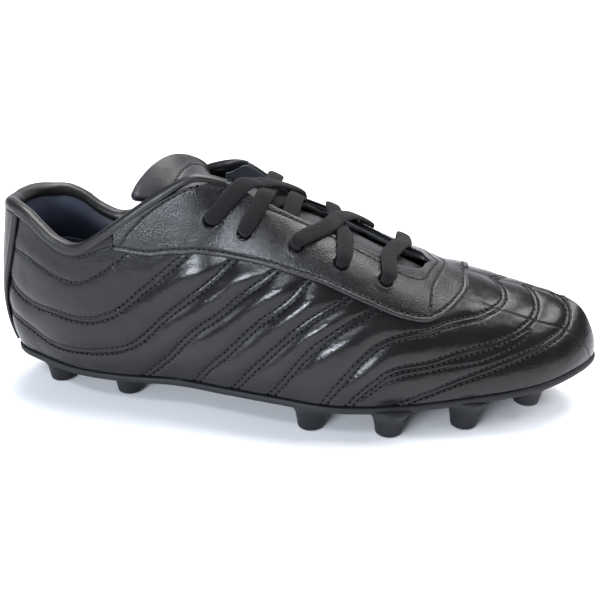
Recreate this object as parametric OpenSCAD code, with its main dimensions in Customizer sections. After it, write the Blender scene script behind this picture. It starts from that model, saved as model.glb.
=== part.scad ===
// Football boot for firm ground, right foot, lace-up, with a moulded stud plate.
// +X points to the toe, +Y to the inner (medial) side, +Z up, and the stud tips stand on Z = 0.

/* [Upper] */
// Thickness of the outer leather
leather_t = 1.2; // [0.8:0.1:1.6]
// Thickness of the lining
lining_t = 0.8; // [0.5:0.1:1.0]
// Thickness of the padding behind the quilted panels
quilt_t = 1.8; // [1:0.1:2]
// Thickness of the padding inside the collar
collar_pad_t = 4; // [2:0.5:5]
// Diameter of a punched eyelet
eyelet_d = 5.2; // [4:0.1:5.5]

/* [Sole] */
// Height of the plate's rim
rim_h = 3.6; // [3:0.1:4.5]
// How far the rim stands out past the upper
rim_out = 0.9; // [0.5:0.1:1.5]
// Diameter of a stud at its tip
stud_tip_d = 12; // [9:0.5:13]
// Diameter of a stud where it flares into the plate
stud_root_d = 22; // [18:0.5:24]

/* [Tongue] */
// Whole thickness of the padded tongue
tongue_t = 4.6; // [4:0.1:5]
// Half width of the tongue
tongue_half = 17; // [14:0.5:18]

/* [Lace] */
// Width of the flat lace
lace_w = 7.6; // [6:0.2:8]
// Thickness of the flat lace
lace_t = 2; // [1.5:0.1:2.2]

/* [Hidden] */

LATERAL = -1;
MEDIAL = 1;
gap = 0.1;           // air between layers that follow the same columns
soft_gap = 0.4;      // air between layers with columns or rows of their own

// Seat line of the upper on the plate, heel to toe, in plan
seat_lateral = [
    [-137.5, 0], [-133, -14], [-118, -21.8], [-99, -29.5], [-76, -33.4], [-50, -34.6], [-24, -40],
    [0, -44.2], [22, -46.6], [46, -42.6], [76, -33.6], [118, -18.8], [142.5, 8]
];
seat_medial = [
    [-137.5, 0], [-133, 14], [-119, 23.5], [-99, 29], [-76, 29], [-50, 25.5], [-24, 24.5],
    [2, 29.5], [28, 39], [56, 44.5], [88, 43.3], [127, 30.5], [142.5, 8]
];
seat = concat(seat_lateral, [for (i = [11:-1:1]) seat_medial[i]]);
// Height of the seat line over the ground along the boot
seat_height = [
    [-145, 20.5], [-125, 17.8], [-105, 16.6], [-80, 17], [-40, 18.5], [0, 18.5], [40, 17],
    [70, 17.5], [100, 20.5], [125, 24], [145, 28]
];
// Top edge of each half: heel, collar rim, facing, then the ridge from the throat to the toe
ridge = [[63, -1, 70.3], [78, 5, 66], [95, 8.5, 60.8], [111, 10, 57.4], [126, 10, 53.6]];
top_lateral = concat([
    [-135, 0, 92], [-134, -8, 92.5], [-130, -15, 93.5], [-124.5, -20, 93], [-118, -24, 91],
    [-110.5, -27.5, 86], [-102, -30.3, 81], [-92, -32.5, 80], [-80, -33, 87], [-67, -31.5, 96.5],
    [-53, -28.5, 106], [-40, -25, 112], [-28, -21, 109.5], [-18, -19.5, 104.5], [-5, -18.7, 98],
    [9, -18, 91.5], [24, -17, 84.5], [38, -15.5, 78], [50, -14, 72.5], [58, -9.5, 70]
], ridge);
top_medial = concat([
    [-135, 0, 92], [-134, 8, 92.5], [-131, 15.5, 92.5], [-125.5, 21.5, 91.5], [-118, 25.5, 90.5],
    [-110.5, 28, 86.5], [-102, 29.3, 80], [-92, 30, 76.5], [-80, 29.8, 81], [-67, 28, 90],
    [-53, 25, 100.5], [-40, 21.5, 106.5], [-27, 19, 108], [-16, 17.5, 102.5], [-2, 16.5, 93.5],
    [11, 15.7, 89], [25, 15, 83.5], [38, 14, 77.5], [50, 12, 72.8], [58, 8, 70.8]
], ridge);
// Fullness of each profile: out and up from the seat, then out and up from the top edge
full_lateral = [
    [8, 24, 3, -24], [8, 24, 3, -23], [6.5, 20, 3, -22], [5, 18, 3, -20], [4, 20, 4, -24],
    [5, 24, 8, -30], [5.5, 26, 12, -28], [5, 26, 20, -14], [4.5, 24, 24, -6], [4.5, 22, 24, -5],
    [5, 18, 25, -2], [4.5, 14, 18, 0], [1.2, 8, 9, 0]
];
full_medial = [
    [8, 24, 3, -24], [8, 24, 3, -23], [6.5, 20, 3, -22], [5, 18, 3, -20], [4, 20, 4, -24],
    [6, 24, 8, -30], [8, 26, 12, -28], [7, 26, 18, -16], [5, 24, 24, -8], [4.5, 22, 28, -3],
    [5, 20, 26, 0], [4.5, 16, 18, 0], [1.2, 8, 9, 0]
];

// Smooth curve through a list of points, f from 0 to 1
function cubic(a, b, c, d, f) =
    0.5 * (2 * b + (c - a) * f
        + (2 * a - 5 * b + 4 * c - d) * f * f + (3 * b - a - 3 * c + d) * f * f * f);
function along(v, f) =
    let (n = len(v) - 1, g = max(0, min(1, f)) * n, i = min(floor(g), n - 1))
    let (b = v[i], c = v[i + 1])
    let (a = i == 0 ? 2 * b - c : v[i - 1], d = i == n - 1 ? 2 * c - b : v[i + 2])
    cubic(a, b, c, d, g - i);
function unit(v) = v / norm(v);
function mix(a, b, f) = a + (b - a) * f;
function height_at(x) =
    let (reach = [-12, -6, 0, 6, 12])
    [for (d = reach) lookup(x + d, seat_height)] * [for (d = reach) 1 / len(reach)];

// Seat line as one closed curve: a point and its outward direction
function seat_at(t, side) =
    let (q = side == LATERAL ? 12 * t : 24 - 12 * t, i = floor(q), f = q - i)
    let (p = [for (k = [-1:2]) seat[(i + k + 24) % 24]])
    let (here = cubic(p[0], p[1], p[2], p[3], f))
    let (next = cubic(p[0], p[1], p[2], p[3], f + 0.01))
    let (d = unit(next - here))
    [[here[0], here[1], height_at(here[0])], [d[1], -d[0], 0]];
// The four control points of the profile at t
function profile(t, side) =
    let (b = seat_at(t, side), base = b[0], out = b[1], up = [0, 0, 1])
    let (top = along(side == LATERAL ? top_lateral : top_medial, t))
    let (w = along(side == LATERAL ? full_lateral : full_medial, t))
    [base, base + w[0] * out + w[1] * up, top + w[2] * out + w[3] * up, top];
function on_profile(c, s) =
    pow(1 - s, 3) * c[0] + 3 * s * pow(1 - s, 2) * c[1] + 3 * s * s * (1 - s) * c[2] + pow(s, 3) * c[3];
function profile_slope(c, s) =
    pow(1 - s, 2) * (c[1] - c[0]) + 2 * s * (1 - s) * (c[2] - c[1]) + s * s * (c[3] - c[2]);
// A point of the upper's outer face at t along the boot and s up the side, moved out by d
function skin(t, s, side, d = 0) =
    let (h = 0.004, c = profile(t, side))
    let (p = on_profile(c, s))
    let (next = profile(min(1, t + h), side), last = profile(max(0, t - h), side))
    let (run = on_profile(next, s) - on_profile(last, s))
    let (n0 = side * -1 * cross(run, profile_slope(c, s)))
    let (n = t < h ? [n0[0], 0, n0[2]] : n0)
    d == 0 ? p : p + d * unit(n);

// A closed sheet between two equal grids of points, rows of columns
module sheet(outer, inner) {
    m = len(outer);
    n = len(outer[0]);
    points = concat([for (r = outer, p = r) p], [for (r = inner, p = r) p]);
    k = m * n;
    faces = concat(
        [for (i = [0:m - 2], j = [0:n - 2]) [i * n + j, i * n + j + 1, (i + 1) * n + j]],
        [for (i = [0:m - 2], j = [0:n - 2]) [i * n + j + 1, (i + 1) * n + j + 1, (i + 1) * n + j]],
        [for (i = [0:m - 2], j = [0:n - 2]) [k + i * n + j, k + (i + 1) * n + j, k + i * n + j + 1]],
        [for (i = [0:m - 2], j = [0:n - 2])
            [k + i * n + j + 1, k + (i + 1) * n + j, k + (i + 1) * n + j + 1]],
        [for (i = [0:m - 2]) [i * n, (i + 1) * n, k + i * n]],
        [for (i = [0:m - 2]) [(i + 1) * n, k + (i + 1) * n, k + i * n]],
        [for (i = [0:m - 2]) [i * n + n - 1, k + i * n + n - 1, (i + 1) * n + n - 1]],
        [for (i = [0:m - 2]) [(i + 1) * n + n - 1, k + i * n + n - 1, k + (i + 1) * n + n - 1]],
        [for (j = [0:n - 2]) [j, k + j, j + 1]],
        [for (j = [0:n - 2]) [j + 1, k + j, k + j + 1]],
        [for (j = [0:n - 2]) [(m - 1) * n + j, (m - 1) * n + j + 1, k + (m - 1) * n + j]],
        [for (j = [0:n - 2]) [(m - 1) * n + j + 1, k + (m - 1) * n + j + 1, k + (m - 1) * n + j]]
    );
    polyhedron(points, faces, convexity = 6);
}
// A layer of the upper over a list of [t, side] columns, between heights given for each column
function grid(columns, low, high, rows, d) =
    [for (c = columns) [for (j = [0:rows]) skin(c[0], low(c) + (high(c) - low(c)) * j / rows, c[1], d)]];
module layer(columns, low, high, rows, outside, inside) {
    sheet(grid(columns, low, high, rows, outside), grid(columns, low, high, rows, inside));
}
// Places along the boot that all long layers share
function lattice(from, to) = [for (i = [0:48]) if (i / 48 >= from && i / 48 <= to) i / 48];
function steps(from, to, n) = [for (i = [0:n]) from + (to - from) * i / n];
function half(side, ts) =
    side == LATERAL ? [for (t = ts) [t, side]] : [for (i = [len(ts) - 1:-1:0]) [ts[i], side]];
// Columns that wrap round the heel
function heel_wrap(ts) = concat(half(MEDIAL, ts), [for (i = [1:len(ts) - 1]) [ts[i], LATERAL]]);
// Columns that wrap round the toe
function toe_wrap(ts) = concat(half(LATERAL, ts), [for (i = [len(ts) - 2:-1:0]) [ts[i], MEDIAL]]);

// Lower edge of the lacing overlay, as heights up the side
overlay_edge = [
    [0.35, 0.85], [0.375, 0.78], [0.4, 0.72], [0.45, 0.665], [0.65, 0.66], [0.69, 0.63],
    [0.75, 0.6], [0.79, 0.58], [0.825, 0.58], [0.842, 0.62], [0.854, 0.68], [0.867, 0.76],
    [0.872, 0.86], [0.878, 0.98]
];
collar_end = 0.48;   // where the collar binding ends on the facing
rim_edge = 0.955;    // lower edge of the collar binding
throat_end = 0.832;  // front corner of the throat
bridge_end = 0.877;  // front edge of the overlay on the ridge
function overlay_low(c) = lookup(c[0], overlay_edge);
function overlay_high(c) = c[0] < collar_end ? rim_edge : 0.998;
function panel_high(c) =
    c[0] < 0.35 ? rim_edge : c[0] > bridge_end ? 0.99 : min(overlay_low(c) + 0.05, 0.99);

module side_panel(side) {
    cols = half(side, concat([0.002], lattice(0.01, 0.99), [0.997]));
    layer(cols, function (c) 0.012, function (c) panel_high(c), 8, 0, -leather_t);
}
module side_panel_lateral() {
    color("#26262a") side_panel(LATERAL);
}
module side_panel_medial() {
    color("#26262a") side_panel(MEDIAL);
}
quilt_out = -leather_t - soft_gap;
quilt_in = quilt_out - quilt_t;
// Top of the padding and of the forefoot's lining: both stop below the collar's own padding
padding_high = function (c) c[0] < collar_end + 0.02 ? 0.6 : min(panel_high(c) - 0.02, 0.9);
module quilt_foam(side) {
    layer(half(side, lattice(0.3, 0.96)), function (c) 0.05, padding_high, 5, quilt_out, quilt_in);
}
module quilt_foam_lateral() {
    color("#8d8d86") quilt_foam(LATERAL);
}
module quilt_foam_medial() {
    color("#8d8d86") quilt_foam(MEDIAL);
}
lining_out = quilt_in - soft_gap;
lining_in = lining_out - lining_t;
module vamp_lining(side) {
    layer(half(side, lattice(0.42, 0.98)), function (c) 0.035, padding_high, 5, lining_out, lining_in);
}
module vamp_lining_lateral() {
    color("#3a3d44") vamp_lining(LATERAL);
}
module vamp_lining_medial() {
    color("#3a3d44") vamp_lining(MEDIAL);
}
module heel_counter() {
    cols = heel_wrap(lattice(0, 0.28));
    color("#5b4a3a") layer(cols, function (c) 0.05, function (c) 0.6, 5, quilt_out, quilt_out - 1.4);
}
module toe_puff() {
    cols = toe_wrap(concat(lattice(0.9, 0.99), [1]));
    face = lining_in - soft_gap;
    color("#5b4a3a") layer(cols, function (c) 0.12, function (c) 0.8, 5, face, face - 0.7);
}
module heel_lining() {
    cols = heel_wrap(lattice(0, 0.41));
    color("#2b2f3a") layer(cols, function (c) 0.035, function (c) 0.61, 5, lining_out, lining_in);
}
// The collar's padding swells between a low and a high edge, less so beside the tongue
collar_cols = heel_wrap(lattice(0, collar_end));
collar_low = 0.63;
edge_pad_t = 0.8;
function collar_high(t) = 0.93 - 0.5 * max(0, t - 0.4);
function swell(t, f) = edge_pad_t + (collar_pad_t - edge_pad_t) * sin(180 * f) * (t < 0.4 ? 1 : 0.5);
function collar_grid(low, high_of, depth_of) =
    [for (c = collar_cols) [for (j = [0:4])
        skin(c[0], mix(low, high_of(c[0]), j / 4), c[1], quilt_out - depth_of(c[0], j / 4))]];
module collar_foam() {
    high = function (t) collar_high(t);
    color("#8d8d86") sheet(
        collar_grid(collar_low, high, function (t, f) 0),
        collar_grid(collar_low, high, function (t, f) swell(t, f))
    );
}
module collar_lining() {
    high = function (t) collar_high(t) + 0.015;
    color("#1d2130") sheet(
        collar_grid(collar_low, high, function (t, f) swell(t, f) + soft_gap),
        collar_grid(collar_low, high, function (t, f) swell(t, f) + soft_gap + lining_t)
    );
}

// Eyelet centres as [t, s] on each half, the top pair first
eyelets_lateral = [[0.487, 0.81], [0.546, 0.79], [0.617, 0.81], [0.667, 0.8], [0.721, 0.8]];
eyelets_medial = [[0.53, 0.81], [0.585, 0.79], [0.645, 0.81], [0.69, 0.8], [0.742, 0.8]];
function eyelets(side) = side == LATERAL ? eyelets_lateral : eyelets_medial;
module punch(side) {
    for (e = eyelets(side)) {
        p = skin(e[0], e[1], side, 0);
        n = unit(skin(e[0], e[1], side, 1) - p);
        tilt = acos(n[2]);
        turn = atan2(n[1], n[0]);
        translate(p) rotate([0, tilt, turn]) cylinder(h = 12, d = eyelet_d, center = true, $fn = 24);
    }
}
module eyestay(side) {
    ts = concat([0.352, 0.375, 0.4, 0.425], steps(0.45, 0.8, 18), [0.815, throat_end]);
    difference() {
        layer(
            half(side, ts), function (c) overlay_low(c), function (c) overlay_high(c), 6,
            leather_t + gap, gap
        );
        punch(side);
    }
}
module eyestay_lateral() {
    color("#26262a") eyestay(LATERAL);
}
module eyestay_medial() {
    color("#26262a") eyestay(MEDIAL);
}
module facing_backer(side) {
    ts = steps(collar_end + 0.006, 0.815, 18);
    high = function (c) c[0] < 0.5 ? 0.93 : 0.985;
    difference() {
        layer(half(side, ts), function (c) overlay_low(c) + 0.06, high, 4, 0, -leather_t);
        punch(side);
    }
}
module facing_backer_lateral() {
    color("#1a2030") facing_backer(LATERAL);
}
module facing_backer_medial() {
    color("#1a2030") facing_backer(MEDIAL);
}
module throat_bridge() {
    ts = [0.8345, 0.842, 0.85, 0.858, 0.867, bridge_end];
    lat = function (t) steps(lookup(t, overlay_edge), 0.97, 5);
    row = function (t, d) concat(
        [for (s = lat(t)) skin(t, s, LATERAL, d)],
        [for (i = [5:-1:0]) skin(t, lat(t)[i], MEDIAL, d)]
    );
    color("#26262a") sheet([for (t = ts) row(t, gap + leather_t)], [for (t = ts) row(t, gap)]);
}

// A flat tube swept along points: where its width lies at each point, and its [width, thickness]
module tube(points, widths, sizes, sides) {
    n = len(points);
    ring = function (i)
        let (d = unit(points[min(n - 1, i + 1)] - points[max(0, i - 1)]))
        let (across = unit(widths[i] - (widths[i] * d) * d), up = cross(across, d))
        [for (k = [0:sides - 1])
            let (a = 360 * (k + 0.5) / sides)
            points[i] + sizes[i][0] / 2 * cos(a) * across + sizes[i][1] / 2 * sin(a) * up];
    verts = [for (i = [0:n - 1], p = ring(i)) p];
    faces = concat(
        [[for (k = [0:sides - 1]) k]],
        [[for (k = [sides - 1:-1:0]) (n - 1) * sides + k]],
        [for (i = [0:n - 2], k = [0:sides - 1])
            [i * sides + k, (i + 1) * sides + k, i * sides + (k + 1) % sides]],
        [for (i = [0:n - 2], k = [0:sides - 1])
            [i * sides + (k + 1) % sides, (i + 1) * sides + k, (i + 1) * sides + (k + 1) % sides]]
    );
    polyhedron(verts, faces, convexity = 8);
}
module collar_binding() {
    cols = heel_wrap(steps(0, collar_end, 22));
    mid = [for (c = cols) skin(c[0], 0.995, c[1], c[0] < 0.4 ? -2.2 : -1)];
    out = [for (c = cols) unit(skin(c[0], 0.995, c[1], 1) - skin(c[0], 0.995, c[1], 0))];
    size = [for (c = cols) [c[0] < 0.4 ? 6.4 : 4, 5.2]];
    color("#303036") tube(mid, out, size, 8);
}
// Half width of the heel stay along the boot at heights up the heel
stay_reach = [[0, 0.06], [0.3, 0.07], [0.45, 0.085], [0.65, 0.105], [0.93, 0.13]];
module heel_stay() {
    face = function (d) [for (f = steps(-1, 1, 8)) [for (s = steps(0.03, 0.93, 8))
        skin(abs(f) * lookup(s, stay_reach), s, f < 0 ? MEDIAL : LATERAL, d)]];
    color("#1c1c20") sheet(face(soft_gap + 1), face(soft_gap));
}

// Sole: a grid across the foot between the two seat lines, inset from them
function across(t, inset, dz, u) =
    let (l = seat_at(t, LATERAL), m = seat_at(t, MEDIAL))
    let (a = l[0] - inset * l[1], b = m[0] - inset * m[1])
    a + (b - a) * u + [0, 0, dz];
module slab(inset, low, high, belly = 0) {
    ts = concat([0.012, 0.04], steps(0.08, 0.92, 26), [0.955, 0.98, 0.992]);
    us = [0, 0.08, 0.3, 0.5, 0.7, 0.92, 1];
    drop = function (u) belly * pow(sin(180 * u), 0.5);
    sheet(
        [for (t = ts) [for (u = us) across(t, inset, high, u)]],
        [for (t = ts) [for (u = us) across(t, inset, low - drop(u), u)]]
    );
}
// Studs as [x, y, height of the tip]: the two at the toe hang clear of the ground
toe_stud_z = 6.5;
studs = [
    [-116, -9, 0], [-78.5, -16, 0], [-114, 12, 0], [-79, 16, 0], [13.5, -34.5, 0], [49, -34.5, 0],
    [83, -22, 0], [14, 24, 0], [50, 33, 0], [85, 31, 0], [112, -7, toe_stud_z], [112, 19, toe_stud_z]
];
module stud(h) {
    r0 = stud_tip_d / 2;
    r1 = stud_root_d / 2;
    rotate_extrude($fn = 40) polygon([
        [0, 0], [r0 - 0.8, 0], [r0, 0.8], [r0 + 0.7, h * 0.4], [r0 + 2, h * 0.7], [r1, h * 0.95],
        [r1, h], [0, h]
    ]);
}
module outsole() {
    color("#2e3136") {
        slab(-rim_out, -rim_h, -0.05, 0.8);
        for (s = studs) translate(s) stud(height_at(s[0]) - rim_h + 0.6 - s[2]);
    }
}
module insole_board() {
    color("#b59b6d") slab(5.2, 0.05, 2);
}
module sockliner() {
    color("#23252b") slab(6.4, 2.1, 5);
}

// Tongue: centre line from front to top, and how far its edges drop
tongue_crown = 8;
tongue_line = [
    [70, 60.5], [62, 65], [50, 70.5], [38, 76], [24, 82.5], [9, 88.5], [-5, 94.5], [-18, 99.5],
    [-28, 102], [-37, 103.5]
];
flap_line = [[-39.5, 104], [-43.5, 106.5], [-48, 109.5], [-52.5, 112.2], [-56, 114]];
flap_width = [1.02, 1.08, 1.14, 1.2, 1.18];
flap_skew = 0.6;     // the flap's end is cut aslant
flap_shift = -4;     // and leans to the outer side
tongue_width = [1, 1.15, 1.18, 1.18, 1.16, 1.08, 1, 0.98, 1.02, 1.06];
function tongue_grid(line, width, drop, skew, shift) =
    [for (i = [0:len(line) - 1])
        let (d = unit(line[min(len(line) - 1, i + 1)] - line[max(0, i - 1)]))
        let (n = [d[1], 0, -d[0]], part = i / (len(line) - 1))
        [for (v = steps(-1, 1, 6))
            let (y = v * width[i] * tongue_half)
            [line[i][0] + y * skew * part, y + shift * part, line[i][1] - tongue_crown * v * v]
                + (n[2] > 0 ? n : -n) * -drop]];
module tongue_layer(line, width, from, to, skew = 0, shift = 0) {
    sheet(tongue_grid(line, width, from, skew, shift), tongue_grid(line, width, to, skew, shift));
}
module flap_layer(from, to) {
    tongue_layer(flap_line, flap_width, from, to, flap_skew, flap_shift);
}
module tongue_leather() {
    color("#2a2a2e") tongue_layer(tongue_line, tongue_width, 0, 1);
}
module tongue_foam() {
    color("#8d8d86") tongue_layer(tongue_line, tongue_width, 1.05, tongue_t - 0.85);
}
module tongue_lining() {
    color("#1d2130") tongue_layer(tongue_line, tongue_width, tongue_t - 0.8, tongue_t);
}
module tongue_flap_leather() {
    color("#2a2a2e") flap_layer(0, 1);
}
module tongue_flap_foam() {
    color("#8d8d86") flap_layer(1.05, tongue_t - 0.85);
}
module tongue_flap_lining() {
    color("#1d2130") flap_layer(tongue_t - 0.8, tongue_t);
}

// Lace: a route of [point, direction of its width, [width, thickness]] through the eyelets
ALONG = [1, 0, -0.4];
in_hole = [3.8, 2.6];
flat = [lace_w, lace_t];
lace_lift = leather_t + gap + lace_t / 2 + 0.4;
function eye(i, side, d) = let (e = eyelets(side)[i]) skin(e[0], e[1], side, d);
function over_edge(t, side) =
    let (n = skin(t, 0.985, side, 1) - skin(t, 0.985, side))
    skin(t, 1, side) + (lace_lift + 0.5) * unit(n + [0, 0, 1]);
// Down into an eyelet from outside, or up out of it when read backwards
function dive(i, side, hint) = [
    [eye(i, side, lace_lift + 0.6) + [1, -side * 1.5, 2], ALONG, [6.4, lace_t]],
    [eye(i, side, 0.6), ALONG, in_hole],
    [eye(i, side, -1.4), hint, in_hole],
    [eye(i, side, -3.2), hint, [5, 2.2]]
];
function backwards(v) = [for (i = [len(v) - 1:-1:0]) v[i]];
// Where the strand from each lateral eyelet crosses the facings' edges: lateral t, medial t
crossings = [[0.533, 0.585], [0.565, 0.553], [0.645, 0.672], [0.668, 0.638], [0.727, 0.75]];
// The outer strand from lateral eyelet i over the tongue to the medial side
function strand(i, lift) =
    let (p = over_edge(crossings[i][0], LATERAL), q = over_edge(crossings[i][1], MEDIAL))
    [[p, ALONG, flat], [mix(p, q, 0.3) + [0, 0, lift * 0.8], ALONG, flat],
     [mix(p, q, 0.5) + [0, 0, lift], ALONG, flat],
     [mix(p, q, 0.7) + [0, 0, lift * 0.8], ALONG, flat], [q, ALONG, flat]];
// One strand under the facings, over the tongue, from eyelet 2 on one side to eyelet 3 on side a
function inner_strand(a, height) =
    let (p = skin(eyelets(-a)[1][0] + 0.012, 0.95, -a, -3.2))
    let (q = skin(eyelets(a)[2][0] - 0.012, 0.95, a, -3.2))
    [[p, ALONG, flat], [[mix(p, q, 0.5)[0], 0, height], ALONG, flat], [q, ALONG, flat]];
function inner_step(side) =
    let (t = (eyelets(side)[3][0] + eyelets(side)[4][0]) / 2)
    let (up = skin(t, 0.84, side) - skin(t, 0.76, side))
    [[skin(t, 0.8, side, -3.2), up, [6.4, lace_t]]];
function half_lace(a, first, third, inner_height) = concat(
    backwards(dive(0, a, ALONG)), first, dive(1, -a, ALONG), inner_strand(a, inner_height),
    backwards(dive(2, a, ALONG)), third, dive(3, -a, ALONG), inner_step(-a), backwards(dive(4, -a, ALONG))
);
lace_route = concat(
    half_lace(LATERAL, strand(0, 2.6), strand(2, 2.6), 98.2),
    backwards(strand(4, 1.5)),
    backwards(half_lace(MEDIAL, backwards(strand(1, -0.6)), backwards(strand(3, -0.6)), 95.4))
);
function smooth(v, n) = [for (i = [0:n]) along(v, i / n)];
module lace() {
    n = round((len(lace_route) - 1) * 1.6);
    color("#3a3739") tube(
        smooth([for (p = lace_route) p[0]], n), smooth([for (p = lace_route) p[1]], n),
        smooth([for (p = lace_route) p[2]], n), 8
    );
}
// Free ends of the lace, tucked into the boot: down inside the facing and along the insole
end_lateral = [
    [-31.5, -22.5, 92], [-31, -22.8, 87], [-31, -23.5, 79], [-31, -24.5, 69], [-31.5, -25, 57],
    [-32, -25, 45], [-34, -25, 35], [-38, -24, 27.5], [-46, -22.5, 24.8], [-56, -21, 24.3],
    [-70, -19, 23.7], [-85, -17, 23.3], [-98, -13, 23.1], [-107, -6, 23.1], [-109, 3, 23.1],
    [-104, 11, 23.1], [-94, 13, 23.2], [-80, 11, 23.4], [-66, 8, 23.9], [-52, 6, 24.5]
];
end_medial = [
    [-20.5, 20, 87.5], [-20.5, 19.6, 83.5], [-20.5, 19.7, 77], [-20.5, 20, 67], [-20, 20.5, 55],
    [-19.5, 20.5, 45], [-19, 20, 35], [-17, 19, 28.5], [-10, 18, 25.2], [0, 17, 24.8],
    [14, 18, 24.4], [30, 19, 23.9], [46, 17, 23.5], [57, 9, 23.5], [57, -3, 23.5],
    [47, -10, 23.5], [34, -12, 23.8], [18, -11, 24.6]
];
// The width lies along the facing on the way down, then flat on the insole
function end_width(d, z) =
    let (w = max(0, min(1, (z - 27) / 20)))
    [w - (1 - w) * d[1], (1 - w) * d[0], 0];
module lace_end(route) {
    n = 40;
    pts = smooth(route, n);
    widths = [for (i = [0:n]) end_width(unit(pts[min(n, i + 1)] - pts[max(0, i - 1)]), pts[i][2])];
    color("#3a3739") tube(pts, widths, [for (p = pts) [lace_w - 0.6, lace_t]], 8);
}
module lace_end_lateral() {
    lace_end(end_lateral);
}
module lace_end_medial() {
    lace_end(end_medial);
}
aglet_l = 20;
aglet_d = 3.2;
module aglet(route) {
    tip = route[len(route) - 1];
    run = unit(tip - route[len(route) - 2]);
    color("#18181a") translate(tip + 0.2 * run + [0, 0, 0.7]) rotate([0, 90, atan2(run[1], run[0])])
        cylinder(h = aglet_l, d = aglet_d, $fn = 24);
}
module aglet_lateral() {
    aglet(end_lateral);
}
module aglet_medial() {
    aglet(end_medial);
}

outsole();
insole_board();
sockliner();
heel_counter();
toe_puff();
side_panel_lateral();
side_panel_medial();
quilt_foam_lateral();
quilt_foam_medial();
heel_lining();
vamp_lining_lateral();
vamp_lining_medial();
eyestay_lateral();
eyestay_medial();
throat_bridge();
facing_backer_lateral();
facing_backer_medial();
collar_binding();
collar_foam();
collar_lining();
heel_stay();
tongue_leather();
tongue_foam();
tongue_lining();
tongue_flap_leather();
tongue_flap_foam();
tongue_flap_lining();
lace();
lace_end_lateral();
lace_end_medial();
aglet_lateral();
aglet_medial();
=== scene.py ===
import math

import bmesh
import bpy
import numpy as np
from mathutils import Matrix, Vector, kdtree, noise
from mathutils.bvhtree import BVHTree


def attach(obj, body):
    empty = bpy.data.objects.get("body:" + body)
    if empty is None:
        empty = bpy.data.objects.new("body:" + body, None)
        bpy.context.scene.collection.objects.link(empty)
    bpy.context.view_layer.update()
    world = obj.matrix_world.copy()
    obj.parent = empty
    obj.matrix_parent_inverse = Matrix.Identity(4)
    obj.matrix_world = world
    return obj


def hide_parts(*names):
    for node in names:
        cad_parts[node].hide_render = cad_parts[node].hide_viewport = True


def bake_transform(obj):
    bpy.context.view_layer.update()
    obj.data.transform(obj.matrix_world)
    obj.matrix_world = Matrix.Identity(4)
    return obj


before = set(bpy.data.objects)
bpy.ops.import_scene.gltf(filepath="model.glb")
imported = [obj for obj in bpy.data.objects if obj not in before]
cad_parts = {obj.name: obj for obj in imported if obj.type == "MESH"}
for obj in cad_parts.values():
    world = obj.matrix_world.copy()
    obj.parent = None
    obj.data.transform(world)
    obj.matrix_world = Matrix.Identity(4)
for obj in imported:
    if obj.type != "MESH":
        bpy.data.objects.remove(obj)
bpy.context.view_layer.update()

MM = 0.001
LATERAL, MEDIAL = -1, 1
SIDES = {LATERAL: "lateral", MEDIAL: "medial"}
UP = np.array([0.0, 0.0, 1.0])


# ---------------------------------------------------------------- camera, lights, floor

def aimed(place, target):
    """The matrix of a camera or lamp that stands at a place and looks at a target."""
    place = Vector(place)
    turn = (Vector(target) - place).to_track_quat("-Z", "Y").to_matrix().to_4x4()
    return Matrix.Translation(place) @ turn


def new_object(name, data):
    thing = bpy.data.objects.new(name, data)
    bpy.context.scene.collection.objects.link(thing)
    return thing


def add_camera():
    data = bpy.data.cameras.new("camera")
    data.sensor_width = 36
    data.lens = 51
    cam = new_object("camera", data)
    roll = Matrix.Rotation(math.radians(0.8), 4, "Z")
    cam.matrix_world = aimed(Vector((54.7, -367.8, 208.5)) * MM, Vector((3, 0, 47)) * MM) @ roll
    bpy.context.scene.camera = cam


def add_light(name, place, target, size, power, tint=(1, 1, 1)):
    data = bpy.data.lights.new(name, "AREA")
    data.shape = "RECTANGLE"
    data.size, data.size_y = size
    data.energy = power
    data.color = tint
    lamp = new_object(name, data)
    lamp.visible_camera = False
    lamp.matrix_world = aimed(place, target)


def add_world():
    """A pale sky that the camera sees brighter than it lights the boot."""
    world = bpy.data.worlds.new("studio")
    world.use_nodes = True
    bpy.context.scene.world = world
    tree = world.node_tree
    back = tree.nodes["Background"]
    back.inputs["Color"].default_value = (0.9, 0.93, 1, 1)
    seen = tree.nodes.new("ShaderNodeLightPath").outputs["Is Camera Ray"]
    strength = tree.nodes.new("ShaderNodeMapRange")
    tree.links.new(seen, strength.inputs["Value"])
    strength.inputs["To Min"].default_value = 0.23
    strength.inputs["To Max"].default_value = 1.0
    tree.links.new(strength.outputs[0], back.inputs["Strength"])
    bpy.context.scene.view_settings.view_transform = "Standard"


def add_floor():
    """White paper that curves up behind the boot, a hair below the stud tips."""
    half, z = 1.6, -0.0003
    mesh = bpy.data.meshes.new("floor")
    corners = [(-half, -half, z), (half, -half, z), (half, half, z), (-half, half, z)]
    wall = [(half, half, 1.6), (-half, half, 1.6)]
    mesh.from_pydata(corners + wall, [], [(0, 1, 2, 3), (3, 2, 4, 5)])
    floor = new_object("floor", mesh)
    curve = floor.modifiers.new("round", "BEVEL")
    curve.width, curve.segments = 0.5, 12
    for poly in mesh.polygons:
        poly.use_smooth = True
    paper = bpy.data.materials.new("paper")
    paper.use_nodes = True
    shader = paper.node_tree.nodes["Principled BSDF"]
    shader.inputs["Base Color"].default_value = (0.86, 0.86, 0.88, 1)
    shader.inputs["Roughness"].default_value = 0.9
    mesh.materials.append(paper)


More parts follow.
